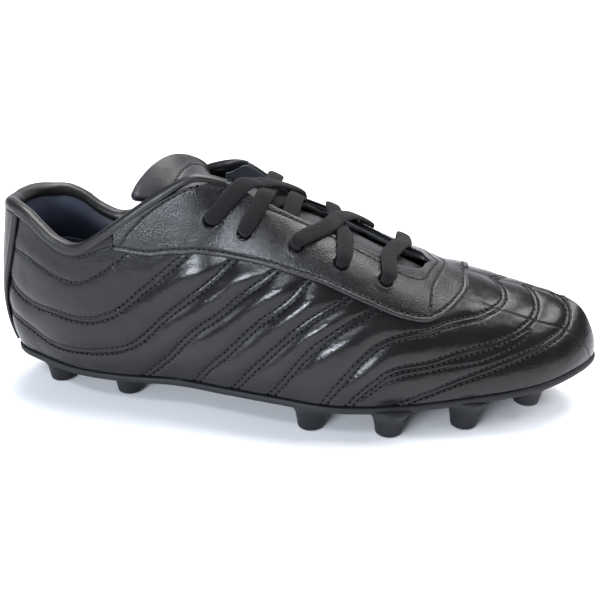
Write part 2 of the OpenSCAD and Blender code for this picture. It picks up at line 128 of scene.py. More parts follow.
def add_lights():
    aim = (0, 0, 0.04)
    add_light("window", (-0.36, -1.0, 0.46), aim, (0.5, 0.2), 12.5, (0.84, 0.91, 1))
    add_light("high_window", (-0.3, -0.7, 0.95), aim, (0.6, 0.15), 4, (0.9, 0.95, 1))
    add_light("overhead", (0.1, 0.3, 1.2), aim, (1.2, 0.6), 24)
    add_light("side", (1.0, 0.1, 0.9), aim, (0.4, 0.4), 6)
    add_light("low_left", (-1.1, -0.4, 0.3), aim, (0.4, 0.3), 2.4, (0.84, 0.9, 1))
    add_light("backdrop", (0, 0.7, 1.3), (0, 1.4, 0.4), (1.6, 0.6), 14)


add_camera()
add_world()
add_floor()
add_lights()


# ---------------------------------------------------------------- the boot's outer surface

# t runs along either half from the heel (0) to the toe (1), and s up its side from the plate (0) to the
# top edge (1). In mm: the upper's outline on the plate (x, y), the plate's height (x, z), the top edge
# (x, y, z), and how full the side is, as distances out and up, at the plate and then at the top edge.
SEAT_LATERAL = [
    (-137.5, 0), (-133, -14), (-118, -21.8), (-99, -29.5), (-76, -33.4), (-50, -34.6), (-24, -40),
    (0, -44.2), (22, -46.6), (46, -42.6), (76, -33.6), (118, -18.8), (142.5, 8)]
SEAT_MEDIAL = [
    (-137.5, 0), (-133, 14), (-119, 23.5), (-99, 29), (-76, 29), (-50, 25.5), (-24, 24.5),
    (2, 29.5), (28, 39), (56, 44.5), (88, 43.3), (127, 30.5), (142.5, 8)]
SEAT = np.array(SEAT_LATERAL + SEAT_MEDIAL[-2:0:-1], float)
HALF = len(SEAT) // 2
SEAT_HEIGHT = np.array([
    (-145, 20.5), (-125, 17.8), (-105, 16.6), (-80, 17), (-40, 18.5), (0, 18.5), (40, 17),
    (70, 17.5), (100, 20.5), (125, 24), (145, 28)])
RIDGE = [(63, -1, 70.3), (78, 5, 66), (95, 8.5, 60.8), (111, 10, 57.4), (126, 10, 53.6)]
TOP = {
    LATERAL: [
        (-135, 0, 92), (-134, -8, 92.5), (-130, -15, 93.5), (-124.5, -20, 93), (-118, -24, 91),
        (-110.5, -27.5, 86), (-102, -30.3, 81), (-92, -32.5, 80), (-80, -33, 87), (-67, -31.5, 96.5),
        (-53, -28.5, 106), (-40, -25, 112), (-28, -21, 109.5), (-18, -19.5, 104.5), (-5, -18.7, 98),
        (9, -18, 91.5), (24, -17, 84.5), (38, -15.5, 78), (50, -14, 72.5), (58, -9.5, 70)] + RIDGE,
    MEDIAL: [
        (-135, 0, 92), (-134, 8, 92.5), (-131, 15.5, 92.5), (-125.5, 21.5, 91.5), (-118, 25.5, 90.5),
        (-110.5, 28, 86.5), (-102, 29.3, 80), (-92, 30, 76.5), (-80, 29.8, 81), (-67, 28, 90),
        (-53, 25, 100.5), (-40, 21.5, 106.5), (-27, 19, 108), (-16, 17.5, 102.5), (-2, 16.5, 93.5),
        (11, 15.7, 89), (25, 15, 83.5), (38, 14, 77.5), (50, 12, 72.8), (58, 8, 70.8)] + RIDGE}
FULL = {
    LATERAL: [
        (8, 24, 3, -24), (8, 24, 3, -23), (6.5, 20, 3, -22), (5, 18, 3, -20), (4, 20, 4, -24),
        (5, 24, 8, -30), (5.5, 26, 12, -28), (5, 26, 20, -14), (4.5, 24, 24, -6), (4.5, 22, 24, -5),
        (5, 18, 25, -2), (4.5, 14, 18, 0), (1.2, 8, 9, 0)],
    MEDIAL: [
        (8, 24, 3, -24), (8, 24, 3, -23), (6.5, 20, 3, -22), (5, 18, 3, -20), (4, 20, 4, -24),
        (6, 24, 8, -30), (8, 26, 12, -28), (7, 26, 18, -16), (5, 24, 24, -8), (4.5, 22, 28, -3),
        (5, 20, 26, 0), (4.5, 16, 18, 0), (1.2, 8, 9, 0)]}


def cubic(a, b, c, d, f):
    """The point a share f of the way from b to c on the smooth curve through a, b, c and d."""
    square = 2 * a - 5 * b + 4 * c - d
    cube = 3 * b - a - 3 * c + d
    return 0.5 * (2 * b + (c - a) * f + square * f * f + cube * f ** 3)


def along(values, f):
    """Smooth curve through a list of points, f from 0 to 1."""
    v = np.asarray(values, float)
    n = len(v) - 1
    g = np.clip(np.asarray(f, float), 0, 1) * n
    i = np.minimum(g.astype(int), n - 1)
    first, last = (i == 0), (i == n - 1)
    b, c = v[i], v[i + 1]
    a, d = v[np.maximum(i - 1, 0)], v[np.minimum(i + 2, n)]
    f = g - i
    if v.ndim > 1:
        first, last, f = first[..., None], last[..., None], f[..., None]
    a = np.where(first, 2 * b - c, a)
    d = np.where(last, 2 * c - b, d)
    return cubic(a, b, c, d, f)


def unit(v):
    return v / np.maximum(np.linalg.norm(v, axis=-1, keepdims=True), 1e-9)


def look_up(table, at):
    return np.interp(at, table[:, 0], table[:, 1])


def lengths(points):
    """How far along a line each of its points lies."""
    return np.concatenate([[0], np.cumsum(np.linalg.norm(np.diff(points, axis=0), axis=1))])


def height_at(x):
    """Height of the plate's top face, evened out over 24 mm."""
    return sum(look_up(SEAT_HEIGHT, x + d) for d in (-12, -6, 0, 6, 12)) / 5


def seat_at(t, side):
    """Where the upper meets the plate, in mm, and the outward direction there."""
    q = HALF * t if side == LATERAL else 2 * HALF - HALF * t
    i = np.floor(q).astype(int)
    f = (q - i)[..., None]
    p = [SEAT[(i + k) % len(SEAT)] for k in (-1, 0, 1, 2)]
    here = cubic(*p, f)
    d = unit(cubic(*p, f + 0.01) - here)
    base = np.concatenate([here, height_at(here[..., 0])[..., None]], -1)
    return base, np.stack([d[..., 1], -d[..., 0], 0 * d[..., 0]], -1)


def face(t, s, side):
    """A point of the upper's outer face, in mm."""
    t, s = np.broadcast_arrays(np.asarray(t, float), np.asarray(s, float))
    base, out = seat_at(t, side)
    top = along(TOP[side], t)
    w = along(FULL[side], t)
    c1 = base + w[..., 0:1] * out + w[..., 1:2] * UP
    c2 = top + w[..., 2:3] * out + w[..., 3:4] * UP
    s = s[..., None]
    r = 1 - s
    return r ** 3 * base + 3 * s * r * r * c1 + 3 * s * s * r * c2 + s ** 3 * top


def outward(t, s, side):
    """The direction straight out of the upper's outer face."""
    h = 0.004
    t = np.asarray(t, float)
    run = face(np.minimum(1, t + h), s, side) - face(np.maximum(0, t - h), s, side)
    s0, s1 = np.clip(np.asarray(s) - 0.01, 0, 1), np.clip(np.asarray(s) + 0.01, 0, 1)
    rise = face(t, s1, side) - face(t, s0, side)
    n = -side * np.cross(run, rise)
    n[..., 1] = np.where(t < h, 0, n[..., 1])
    return unit(n)


def skin(t, s, side, d=0.0):
    """A point d mm off the upper's outer face."""
    d = np.asarray(d, float)
    return face(t, s, side) + (d[..., None] if d.ndim else d) * outward(t, s, side)


# Where the collar, the overlay, the throat and its bridge start or end along t, and where the leather
# ends under the collar roll along s. The overlay's lower edge and the eyelets are (t, s) points.
COLLAR_END = 0.48
OVERLAY_START = 0.35
THROAT_END = 5 / 6
BRIDGE_END = 0.877
RIM_EDGE = 0.955
OVERLAY_EDGE = np.array([
    (0.35, 0.85), (0.375, 0.78), (0.4, 0.72), (0.45, 0.665), (0.65, 0.66), (0.69, 0.63), (0.75, 0.6),
    (0.79, 0.58), (0.825, 0.58), (0.842, 0.62), (0.854, 0.68), (0.867, 0.76), (0.872, 0.86),
    (0.878, 0.98)])
EYELETS = {
    LATERAL: [(0.487, 0.81), (0.546, 0.79), (0.617, 0.81), (0.667, 0.8), (0.721, 0.8)],
    MEDIAL: [(0.53, 0.81), (0.585, 0.79), (0.645, 0.81), (0.69, 0.8), (0.742, 0.8)]}
EYELET_D = 5.2
LEATHER_T = 1.2


def overlay_low(t):
    """The overlay's lower edge, its corners slightly rounded."""
    even = sum(look_up(OVERLAY_EDGE, t + d) for d in (-0.006, 0, 0.006)) / 3
    return even * 0.5 + look_up(OVERLAY_EDGE, t) * 0.5


def panel_high(t):
    """The upper edge of the quilted leather: the rim at the heel, then just under the overlay."""
    under = np.minimum(overlay_low(t) + 0.05, 1.0)
    return np.where(t < OVERLAY_START, RIM_EDGE, np.where(t > BRIDGE_END, 1.0, under))


def even_steps(start, end, side, spacing, s=0.4):
    """Values of t from start to end, evenly spaced along the boot by so many mm."""
    t = np.linspace(start, end, 2000)
    run = lengths(face(t, s, side))
    count = max(4, int(round(run[-1] / spacing)))
    return np.interp(np.linspace(0, run[-1], count + 1), run, t)


def level(value):
    """A limit that is the same all along the boot."""
    return lambda t: np.full_like(t, value)


def between(t, low, high, rows):
    """The t and s values of a grid between two limits along the boot."""
    s = low(t)[:, None] + (high(t) - low(t))[:, None] * np.linspace(0, 1, rows + 1)[None]
    return np.repeat(t[:, None], rows + 1, 1), s


# ---------------------------------------------------------------- mesh helpers

def corners_of(grid):
    """The four corner values of every cell of a grid."""
    return grid[:-1, :-1], grid[1:, :-1], grid[1:, 1:], grid[:-1, 1:]


def grid_faces(index):
    return np.stack(corners_of(index), -1).reshape(-1, 4)


def sheet_faces(grid, side=LATERAL):
    """Faces of a sheet of points, turned outward on either side of the boot."""
    faces = grid_faces(np.arange(grid.shape[0] * grid.shape[1]).reshape(grid.shape[:2]))
    return faces[:, ::-1] if side == MEDIAL else faces


def tube_faces(count, sides):
    """Faces between rings of points, without the two ends."""
    index = np.arange(count * sides).reshape(count, sides)
    return grid_faces(np.concatenate([index, index[:, :1]], 1))


def closed_tube_faces(count, sides):
    """The same with both ends closed."""
    faces = [list(f) for f in tube_faces(count, sides)]
    return faces + [list(range(sides))[::-1], list(range((count - 1) * sides, count * sides))]


def make_piece(name, points, faces, materials, marks=None, material_index=None):
    """A Blender mesh from points in mm. marks are per-point values that a material reads."""
    mesh = bpy.data.meshes.new(name)
    mesh.from_pydata((np.asarray(points, float) * MM).tolist(), [], [list(map(int, f)) for f in faces])
    for key, values in (marks or {}).items():
        layer = mesh.attributes.new(key, "FLOAT", "POINT")
        layer.data.foreach_set("value", np.asarray(values, np.float32).ravel())
    for material in materials:
        mesh.materials.append(material)
    if material_index is not None:
        mesh.polygons.foreach_set("material_index", np.asarray(material_index, np.int32))
    mesh.polygons.foreach_set("use_smooth", [True] * len(mesh.polygons))
    mesh.validate()
    return new_object(name, mesh)


def thicken(piece, thickness):
    """Gives a sheet its thickness in mm, on its inner side."""
    shell = piece.modifiers.new("thickness", "SOLIDIFY")
    shell.thickness = thickness * MM
    shell.offset = -1.0


def turn_outward(piece, weld=0.0):
    """Turns every face of a closed form outward, after welding points closer than so many mm."""
    shape = bmesh.new()
    shape.from_mesh(piece.data)
    if weld:
        bmesh.ops.remove_doubles(shape, verts=shape.verts, dist=weld * MM)
    bmesh.ops.recalc_face_normals(shape, faces=shape.faces)
    shape.to_mesh(piece.data)
    shape.free()


def finish_piece(piece, slot, *nodes):
    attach(piece, "root")
    if nodes:
        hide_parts(*nodes)
    return piece


def nearest(lines, points):
    """Distance from each point to the nearest line in mm, and how far along that line it lies."""
    far = 60.0
    tree = kdtree.KDTree(sum(len(line) for line in lines))
    place = []
    for line in lines:
        for p, r in zip(line, lengths(line)):
            tree.insert(Vector(p), len(place))
            place.append(r)
    tree.balance()
    flat = np.asarray(points).reshape(-1, 3)
    dist = np.empty(len(flat))
    run = np.empty(len(flat))
    for k, p in enumerate(flat.tolist()):
        hit = tree.find(p)
        dist[k] = min(hit[2], far)
        run[k] = place[hit[1]]
    shape = np.asarray(points).shape[:-1]
    return dist.reshape(shape), run.reshape(shape)


def surface_line(t, s, side):
    """A line on the surface as points every 0.4 mm, with their normals."""
    rows = resample(np.concatenate([skin(t, s, side), outward(t, s, side)], 1), 0.4)
    return rows[:, :3], unit(rows[:, 3:])


def seam(points, side):
    """A smooth stitch line through (t, s) control points."""
    ts = np.clip(along(points, np.linspace(0, 1, 400)), 0, 1)
    return surface_line(ts[:, 0], ts[:, 1], side)


def resample(rows, spacing):
    """Evenly spaced rows: the first three columns are points in mm, the others follow them."""
    run = lengths(rows[:, :3])
    at = np.linspace(0, run[-1], max(2, int(round(run[-1] / spacing))) + 1)
    return np.stack([np.interp(at, run, rows[:, k]) for k in range(rows.shape[1])], 1)


def shifted(line, normals, offset):
    """The line moved sideways along the surface."""
    run = unit(np.gradient(line, axis=0))
    return line + offset * np.cross(normals, run)


def bumpy(points, size, seed=0.0):
    """Smooth random values, about -1 to 1, with features of a size in mm."""
    flat = np.asarray(points).reshape(-1, 3) / size + seed
    values = np.array([noise.noise(p) for p in flat.tolist()])
    return values.reshape(np.asarray(points).shape[:-1])


def step_up(low, high, x):
    """Rises smoothly from 0 at low to 1 at high."""
    f = np.clip((x - low) / (high - low), 0, 1)
    return f * f * (3 - 2 * f)


# ---------------------------------------------------------------- materials

class Nodes:
    """Short names for building a material's node tree."""

    def __init__(self, name):
        self.material = bpy.data.materials.new(name)
        self.material.use_nodes = True
        self.tree = self.material.node_tree
        self.shader = self.tree.nodes["Principled BSDF"]
        self.coords = self.tree.nodes.new("ShaderNodeTexCoord").outputs["Object"]

    def add(self, kind, **values):
        node = self.tree.nodes.new(kind)
        for key, value in values.items():
            if key in node.inputs:
                self.put(node.inputs[key], value)
            else:
                setattr(node, key, value)
        return node

    def put(self, socket, value):
        if isinstance(value, bpy.types.NodeSocket):
            self.tree.links.new(value, socket)
        else:
            socket.default_value = value

    def noise(self, size, detail=3.0, rough=0.55, stretch=None):
        """Noise with features of a size in mm."""
        coords = self.coords
        if stretch:
            coords = self.add("ShaderNodeMapping", Vector=coords, Scale=stretch).outputs[0]
        return self.add("ShaderNodeTexNoise", Vector=coords, Scale=1 / (size * MM), Detail=detail,
                        Roughness=rough).outputs[0]

    def cells(self, size):
        """Rounded cells of a size in mm."""
        node = self.add("ShaderNodeTexVoronoi", Vector=self.coords, feature="SMOOTH_F1")
        node.inputs["Scale"].default_value = 1 / (size * MM)
        node.inputs["Smoothness"].default_value = 0.35
        return node.outputs["Distance"]

    def mark(self, name):
        return self.add("ShaderNodeAttribute", attribute_name=name).outputs["Fac"]

    def math(self, operation, a, b=0.0, clamp=False):
        node = self.add("ShaderNodeMath", operation=operation, use_clamp=clamp)
        self.put(node.inputs[0], a)
        self.put(node.inputs[1], b)
        return node.outputs[0]

    def wave(self, value, cycle):
        """A sine that repeats after each cycle of the value."""
        return self.math("SINE", self.math("MULTIPLY", value, 2 * math.pi / cycle))

    def spread(self, value, low, high, from_low=0.0, from_high=1.0):
        node = self.add("ShaderNodeMapRange")
        for k, v in enumerate((value, from_low, from_high, low, high)):
            self.put(node.inputs[k], v)
        return node.outputs[0]

    def mix(self, factor, a, b):
        node = self.add("ShaderNodeMix", data_type="RGBA")
        self.put(node.inputs[0], factor)
        for socket, colour in ((node.inputs[6], a), (node.inputs[7], b)):
            self.put(socket, colour if isinstance(colour, bpy.types.NodeSocket) else (*colour, 1))
        return node.outputs[2]

    def toned(self, value, low, high, dark, light):
        """From dark to light while the value goes from low to high."""
        return self.mix(self.spread(value, 0, 1, low, high), dark, light)

    def bump(self, height, depth, strength=1.0, below=None):
        node = self.add("ShaderNodeBump", Strength=strength, Distance=depth * MM)
        self.put(node.inputs["Height"], height)
        if below is not None:
            self.put(node.inputs["Normal"], below)
        return node.outputs[0]

    def set(self, **values):
        for key, value in values.items():
            self.put(self.shader.inputs[key.replace("_", " ")], value)
        return self.material


def leather(name, dark, light, rough, grain, coat=0.05, grain_size=0.7, crease=0.25, specular=0.35):
    """Grained leather: painted shade (darker, duller) in marked creases, a painted highlight (lighter,
    glossier) on marked crests.
    """
    n = Nodes(name)
    tone = n.noise(24, 4)
    crease_shade = n.mark("crease")
    crest_highlight = n.mark("crest")
    colour = n.toned(tone, 0.3, 0.7, dark, light)
    # Painted highlight: the marked crests lightened towards twice the light tone.
    colour = n.mix(n.math("MULTIPLY", crest_highlight, 0.35), colour, tuple(min(1, v * 2.2) for v in light))
    # Painted shade: the marked creases darkened towards a third of the dark tone.
    colour = n.mix(n.math("MULTIPLY", crease_shade, 0.8), colour, tuple(v * 0.35 for v in dark))
    fine = n.cells(grain_size)
    pores = n.noise(grain_size * 0.45, 2)
    folds = n.noise(5.5, 3, 0.5, (1, 1, 1.6))
    height = n.bump(folds, crease, 0.8)
    height = n.bump(fine, 0.12, grain, height)
    height = n.bump(pores, 0.05, grain * 0.8, height)
    patch = n.spread(n.noise(9, 4, 0.6), rough[0], rough[1], 0.3, 0.7)
    patch = n.math("ADD", patch, n.math("MULTIPLY", crease_shade, 0.22))
    patch = n.math("SUBTRACT", patch, n.math("MULTIPLY", crest_highlight, 0.05), clamp=True)
    return n.set(Base_Color=colour, Roughness=patch, Normal=height, Coat_Weight=coat,
                 Coat_Roughness=0.2, Specular_IOR_Level=specular)


def suede(name, dark, light):
    n = Nodes(name)
    colour = n.toned(n.noise(1.6, 4), 0.35, 0.65, dark, light)
    height = n.bump(n.noise(0.5, 3), 0.25, 0.9)
    return n.set(Base_Color=colour, Roughness=0.92, Normal=height, Sheen_Weight=0.5,
                 Sheen_Roughness=0.4)


def textile(name, dark, light, pitch=0.9):
    """Plain weave of two crossed waves."""
    n = Nodes(name)
    x, y, z = n.add("ShaderNodeSeparateXYZ", Vector=n.coords).outputs
    across = n.math("SUBTRACT", n.math("ADD", y, z), n.math("MULTIPLY", x, 0.5))
    weave = n.math("MULTIPLY", n.wave(n.math("ADD", x, z), pitch * MM), n.wave(across, pitch * MM))
    colour = n.toned(weave, -1, 1, dark, light)
    height = n.bump(weave, 0.15, 0.7, n.bump(n.noise(2.5, 3), 0.2, 0.5))
    return n.set(Base_Color=colour, Roughness=0.8, Normal=height, Sheen_Weight=0.3)


def braid(name, dark, light):
    """A flat lace's braid, from its own length and width coordinates."""
    n = Nodes(name)
    run = n.math("DIVIDE", n.mark("run"), 1.5)
    turn = n.math("MULTIPLY", n.mark("turn"), 9)
    strands = [n.wave(n.math(way, run, turn), 1) for way in ("ADD", "SUBTRACT")]
    weave = n.math("MAXIMUM", *strands)
    fuzz = n.noise(0.35, 3)
    tone = n.toned(weave, -0.6, 1, dark, light)
    tone = n.mix(n.math("MULTIPLY", n.noise(6, 3), 0.4), tone, dark)
    height = n.bump(fuzz, 0.08, 0.6, n.bump(weave, 0.22, 0.9))
    return n.set(Base_Color=tone, Roughness=0.86, Normal=height, Sheen_Weight=0.05, Sheen_Roughness=0.5,
                 Specular_IOR_Level=0.14)


def moulded(name, dark, light, rough=(0.5, 0.62), specular=0.4):
    n = Nodes(name)
    colour = n.toned(n.noise(18, 4), 0.3, 0.7, dark, light)
    scuffs = n.noise(1.2, 4, 0.7, (1, 1, 4))
    colour = n.mix(n.spread(scuffs, 0, 0.35, 0.6, 0.8), colour, tuple(v * 1.8 for v in light))
    height = n.bump(n.noise(0.35, 2), 0.05, 0.7, n.bump(n.noise(7, 2), 0.15, 0.6))
    return n.set(Base_Color=colour, Roughness=n.spread(scuffs, rough[0], rough[1]), Normal=height,
                 Specular_IOR_Level=specular)


def plain_soft(name, dark, light, size, depth):
    n = Nodes(name)
    colour = n.toned(n.cells(size), 0, 0.8, dark, light)
    return n.set(Base_Color=colour, Roughness=0.95, Normal=n.bump(n.cells(size), depth, 0.9))


def thread_material(name, dark, light):
    n = Nodes(name)
    twist = n.noise(0.3, 2, 0.5, (3, 3, 1))
    return n.set(Base_Color=n.mix(twist, dark, light), Roughness=0.5, Normal=n.bump(twist, 0.08, 0.8),
                 Specular_IOR_Level=0.3)


UPPER = leather("upper_leather", (0.0035, 0.0033, 0.0036), (0.0065, 0.006, 0.0065), (0.21, 0.3), 0.35,
                specular=0.3)
OVERLAY = leather("overlay_leather", (0.0045, 0.0042, 0.0046), (0.009, 0.0085, 0.0092), (0.24, 0.34),
                  1.0, grain_size=0.65, crease=0.2, specular=0.4)
TRIM = leather("trim_leather", (0.006, 0.0057, 0.006), (0.010, 0.0095, 0.010), (0.34, 0.44), 0.3)
TONGUE = leather("tongue_leather", (0.015, 0.0145, 0.016), (0.024, 0.023, 0.026), (0.4, 0.5), 0.35,
                 coat=0.0)
COLLAR = leather("collar_lining", (0.016, 0.020, 0.036), (0.027, 0.033, 0.056), (0.45, 0.55), 0.25,
                 coat=0.0, specular=0.5)
SUEDE = suede("facing_suede", (0.004, 0.006, 0.010), (0.010, 0.014, 0.021))
VAMP = textile("vamp_lining", (0.010, 0.012, 0.018), (0.028, 0.032, 0.042))
FOOTBED = textile("footbed", (0.008, 0.009, 0.012), (0.022, 0.023, 0.028), 1.2)
PADDING = plain_soft("padding", (0.22, 0.21, 0.19), (0.36, 0.35, 0.33), 0.9, 0.3)
STIFFENER = plain_soft("stiffener", (0.20, 0.13, 0.08), (0.32, 0.23, 0.15), 1.6, 0.15)
BOARD = plain_soft("board", (0.36, 0.27, 0.15), (0.50, 0.40, 0.26), 1.2, 0.12)
PLATE = moulded("plate", (0.006, 0.0063, 0.008), (0.010, 0.0107, 0.0135), specular=0.3)
LACE = braid("lace", (0.0035, 0.0033, 0.0037), (0.011, 0.0104, 0.0117))
AGLET = moulded("aglet", (0.008, 0.008, 0.009), (0.012, 0.012, 0.013), (0.25, 0.35))
THREAD = thread_material("thread", (0.003, 0.003, 0.003), (0.014, 0.014, 0.015))
# Near-black discs over the needle holes: painted shade in the holes.
HOLE_SHADE = Nodes("needle_hole_shade").set(Base_Color=(0.001, 0.001, 0.001, 1), Roughness=1.0,
                                Specular_IOR_Level=0.0)
EDGE = thread_material("edge_binding", (0.006, 0.006, 0.007), (0.016, 0.016, 0.018))


# ---------------------------------------------------------------- lace

# A lace's route is a list of stations: a point in mm, the direction of its width, and its width and
# thickness there.
LACE_W, LACE_T = 7.6, 2.5
ALONG = (1, 0, -0.4)
IN_HOLE = (4.4, 2.6)
FLAT = (LACE_W, LACE_T)
LACE_LIFT = LEATHER_T + 0.1 + LACE_T / 2 + 0.3
EDGE_LIFT = 2.5
INSIDE = -3.2
CROSSINGS = [(0.533, 0.585), (0.565, 0.553), (0.645, 0.672), (0.668, 0.638), (0.727, 0.75)]


def mix(a, b, f):
    return np.asarray(a, float) + (np.asarray(b, float) - np.asarray(a, float)) * f


def eye(i, side, d):
    """A point on an eyelet's axis, d mm outside the surface."""
    return skin(*EYELETS[side][i], side, d)


def over_edge(t, side):
    """Where a strand passes over the throat's edge."""
    n = outward(t, 0.985, side)
    return skin(t, 1.0, side) + EDGE_LIFT * unit(n + UP)


def flat(points):
    return [(p, ALONG, FLAT) for p in points]


def dive(i, side):
    """From above an eyelet down through it."""
    above = eye(i, side, LACE_LIFT + 0.6) + np.array([1, -side * 1.5, 2])
    return [(above, ALONG, (6.8, LACE_T)), (eye(i, side, 0.6), ALONG, IN_HOLE),
            (eye(i, side, -1.4), ALONG, IN_HOLE), (eye(i, side, INSIDE), ALONG, (5, 2.2))]


def strand(i, lift):
    """Across the throat from the lateral to the medial edge, arched upward."""
    p, q = over_edge(CROSSINGS[i][0], LATERAL), over_edge(CROSSINGS[i][1], MEDIAL)
    arch = [mix(p, q, f) + lift * share * UP for f, share in ((0.3, 0.8), (0.5, 1), (0.7, 0.8))]
    return flat([p] + arch + [q])


def inner_strand(a, height):
    """Across the throat inside the boot, over the tongue."""
    p = skin(EYELETS[-a][1][0] + 0.012, 0.95, -a, INSIDE)
    q = skin(EYELETS[a][2][0] - 0.012, 0.95, a, INSIDE)
    return flat([p, np.array([mix(p, q, 0.5)[0], 0, height]), q])


def inner_step(side):
    """Inside one facing, from its fourth eyelet to its fifth."""
    t = (EYELETS[side][3][0] + EYELETS[side][4][0]) / 2
    return [(skin(t, 0.8, side, INSIDE), skin(t, 0.84, side) - skin(t, 0.76, side), (6.4, LACE_T))]


def half_lace(a, first, third, inner_height):
    """One half of the lacing, which starts at the top eyelet of side a."""
    return (dive(0, a)[::-1] + first + dive(1, -a) + inner_strand(a, inner_height)
            + dive(2, a)[::-1] + third + dive(3, -a) + inner_step(-a) + dive(4, -a)[::-1])


def sweep(points, widths, sizes, sides=16, power=0.75):
    """Flat rounded tube: returns points, faces and the length and turn marks."""
    points, widths, sizes = (np.asarray(v, float) for v in (points, widths, sizes))
    run = unit(np.gradient(points, axis=0))
    across = unit(widths - (widths * run).sum(1, keepdims=True) * run)
    up = np.cross(across, run)
    a = 2 * np.pi * (np.arange(sides) + 0.5) / sides
    ca = np.sign(np.cos(a)) * np.abs(np.cos(a)) ** power
    sa = np.sign(np.sin(a)) * np.abs(np.sin(a)) ** power
    ring = (points[:, None] + sizes[:, None, 0:1] / 2 * ca[None, :, None] * across[:, None]
            + sizes[:, None, 1:2] / 2 * sa[None, :, None] * up[:, None])
    faces = [f[::-1] for f in closed_tube_faces(len(points), sides)]
    marks = {"run": np.repeat(lengths(points), sides), "turn": np.tile(ca * 0.5, len(points))}
    return ring.reshape(-1, 3), faces, marks


def build_lace():
    route = (half_lace(LATERAL, strand(0, 2.6), strand(2, 2.6), 98.2) + strand(4, 1.5)[::-1]
             + half_lace(MEDIAL, strand(1, -0.6)[::-1], strand(3, -0.6)[::-1], 95.4)[::-1])
    f = np.linspace(0, 1, 640)
    points, widths, sizes = (along([station[k] for station in route], f) for k in range(3))
    verts, faces, marks = sweep(points, widths, sizes)
    lace = make_piece("lace_woven", verts, faces, [LACE], marks=marks)
    finish_piece(lace, "lace", "lace")


# The free ends' routes in mm, and the heights below which they lie flat and above which they hang.
LYING_Z, HANGING_Z = 27, 47
END_LATERAL = [
    (-31.5, -22.5, 92), (-31, -22.8, 87), (-31, -23.5, 79), (-31, -24.5, 69), (-31.5, -25, 57),
    (-32, -25, 45), (-34, -25, 35), (-38, -24, 27.5), (-46, -22.5, 24.8), (-56, -21, 24.3),
    (-70, -19, 23.7), (-85, -17, 23.3), (-98, -13, 23.1), (-107, -6, 23.1), (-109, 3, 23.1),
    (-104, 11, 23.1), (-94, 13, 23.2), (-80, 11, 23.4), (-66, 8, 23.9), (-52, 6, 24.5)]
END_MEDIAL = [
    (-20.5, 20, 87.5), (-20.5, 19.6, 83.5), (-20.5, 19.7, 77), (-20.5, 20, 67), (-20, 20.5, 55),
    (-19.5, 20.5, 45), (-19, 20, 35), (-17, 19, 28.5), (-10, 18, 25.2), (0, 17, 24.8), (14, 18, 24.4),
    (30, 19, 23.9),
    (46, 17, 23.5), (57, 9, 23.5), (57, -3, 23.5), (47, -10, 23.5), (34, -12, 23.8), (18, -11, 24.6)]


def build_lace_end(label, route):
    """A free end of the lace: down inside the facing, then flat on the sockliner, with its aglet."""
    count, tapered = 260, 10
    points = along(route, np.linspace(0, 1, count))
    run = unit(np.gradient(points, axis=0))
    wall = np.clip((points[:, 2:3] - LYING_Z) / (HANGING_Z - LYING_Z), 0, 1)
    level_widths = np.stack([-run[:, 1], run[:, 0], 0 * run[:, 0]], 1)
    widths = wall * np.array([1.0, 0, 0]) + (1 - wall) * level_widths
    sizes = np.tile([LACE_W - 0.6, LACE_T], (count, 1))
    taper = np.clip((np.arange(count) - (count - tapered)) / (tapered - 1), 0, 1)
    sizes[:, 0] -= taper * (sizes[:, 0] - 3)
    verts, faces, marks = sweep(points, widths, sizes)
    piece = make_piece("lace_tail_" + label, verts, faces, [LACE], marks=marks)
    finish_piece(piece, "lace", "lace_end_" + label)
    aglet = build_aglet(label, points[-1], run[-1])


def build_aglet(label, tip, run):
    """Crimped plastic end: a rolled sleeve with a tapered nose."""
    length, radius = 20.0, 1.6
    stations = [(0, 0.82), (0.3, 0.97), (0.8, 1), (3, 1), (3.4, 0.93), (4, 0.93), (4.4, 1), (12, 1),
                (17, 0.98), (19, 0.86), (19.8, 0.6), (length, 0.2)]
    flat_run = unit(np.array([run[0], run[1], 0]))
    start = tip + 0.2 * flat_run + 0.7 * UP
    points = np.array([start + flat_run * x for x, _ in stations])
    widths = np.tile(np.array([-flat_run[1], flat_run[0], 0]), (len(points), 1))
    sizes = np.array([(2 * radius * r, 2 * radius * r) for _, r in stations])
    verts, faces, marks = sweep(points, widths, sizes, 24, 1.0)
    piece = make_piece("aglet_tip_" + label, verts, faces, [AGLET], marks=marks)
    return finish_piece(piece, "aglet", "aglet_" + label)


build_lace_end("lateral", END_LATERAL)
build_lace_end("medial", END_MEDIAL)
build_lace()


# ---------------------------------------------------------------- stitching

PITCH = 2.7
stitch_points, stitch_faces, stitch_kind = [], [], []


def add_stitches(row, normals, surface, radius=0.34):
    """Thread bits between needle holes along a row, laid on the surface given as a BVH tree."""
    spots = []
    for r in resample(np.concatenate([row, normals], 1), PITCH):
        hit = surface.find_nearest(Vector(r[:3]))
        n = Vector(hit[1])
        if n.dot(Vector(r[3:])) < 0:
            n = -n
        spots.append((np.array(hit[0]), np.array(n)))
    for (a, na), (b, nb) in zip(spots[:-1], spots[1:]):
        if np.linalg.norm(b - a) > 1.6 * PITCH:
            continue
        add_thread(a, b, unit(na + nb), radius)
    for p, n in spots:
        add_hole(p, n, 1.5 * radius)


def circle(centre, radius, across, other, sides):
    return [centre + radius * (math.cos(w) * across + math.sin(w) * other)
            for w in np.arange(sides) * 2 * math.pi / sides]


def add_thread(a, b, n, radius):
    """A bit of thread from hole a to hole b. Its rings: share of the way, of the radius, lift in mm."""
    sides = 6
    profile = [(0.08, 0.35, -0.25), (0.2, 0.85, 0.02), (0.5, 1.0, 0.14), (0.8, 0.85, 0.02),
               (0.92, 0.35, -0.25)]
    across = np.cross(n, unit(b - a))
    base = len(stitch_points)
    for f, share, lift in profile:
        stitch_points.extend(circle(a + (b - a) * f + lift * n, radius * share, across, n, sides))
    faces = (tube_faces(len(profile), sides)[:, ::-1] + base).tolist()
    stitch_faces.extend(faces)
    stitch_kind.extend([0] * len(faces))
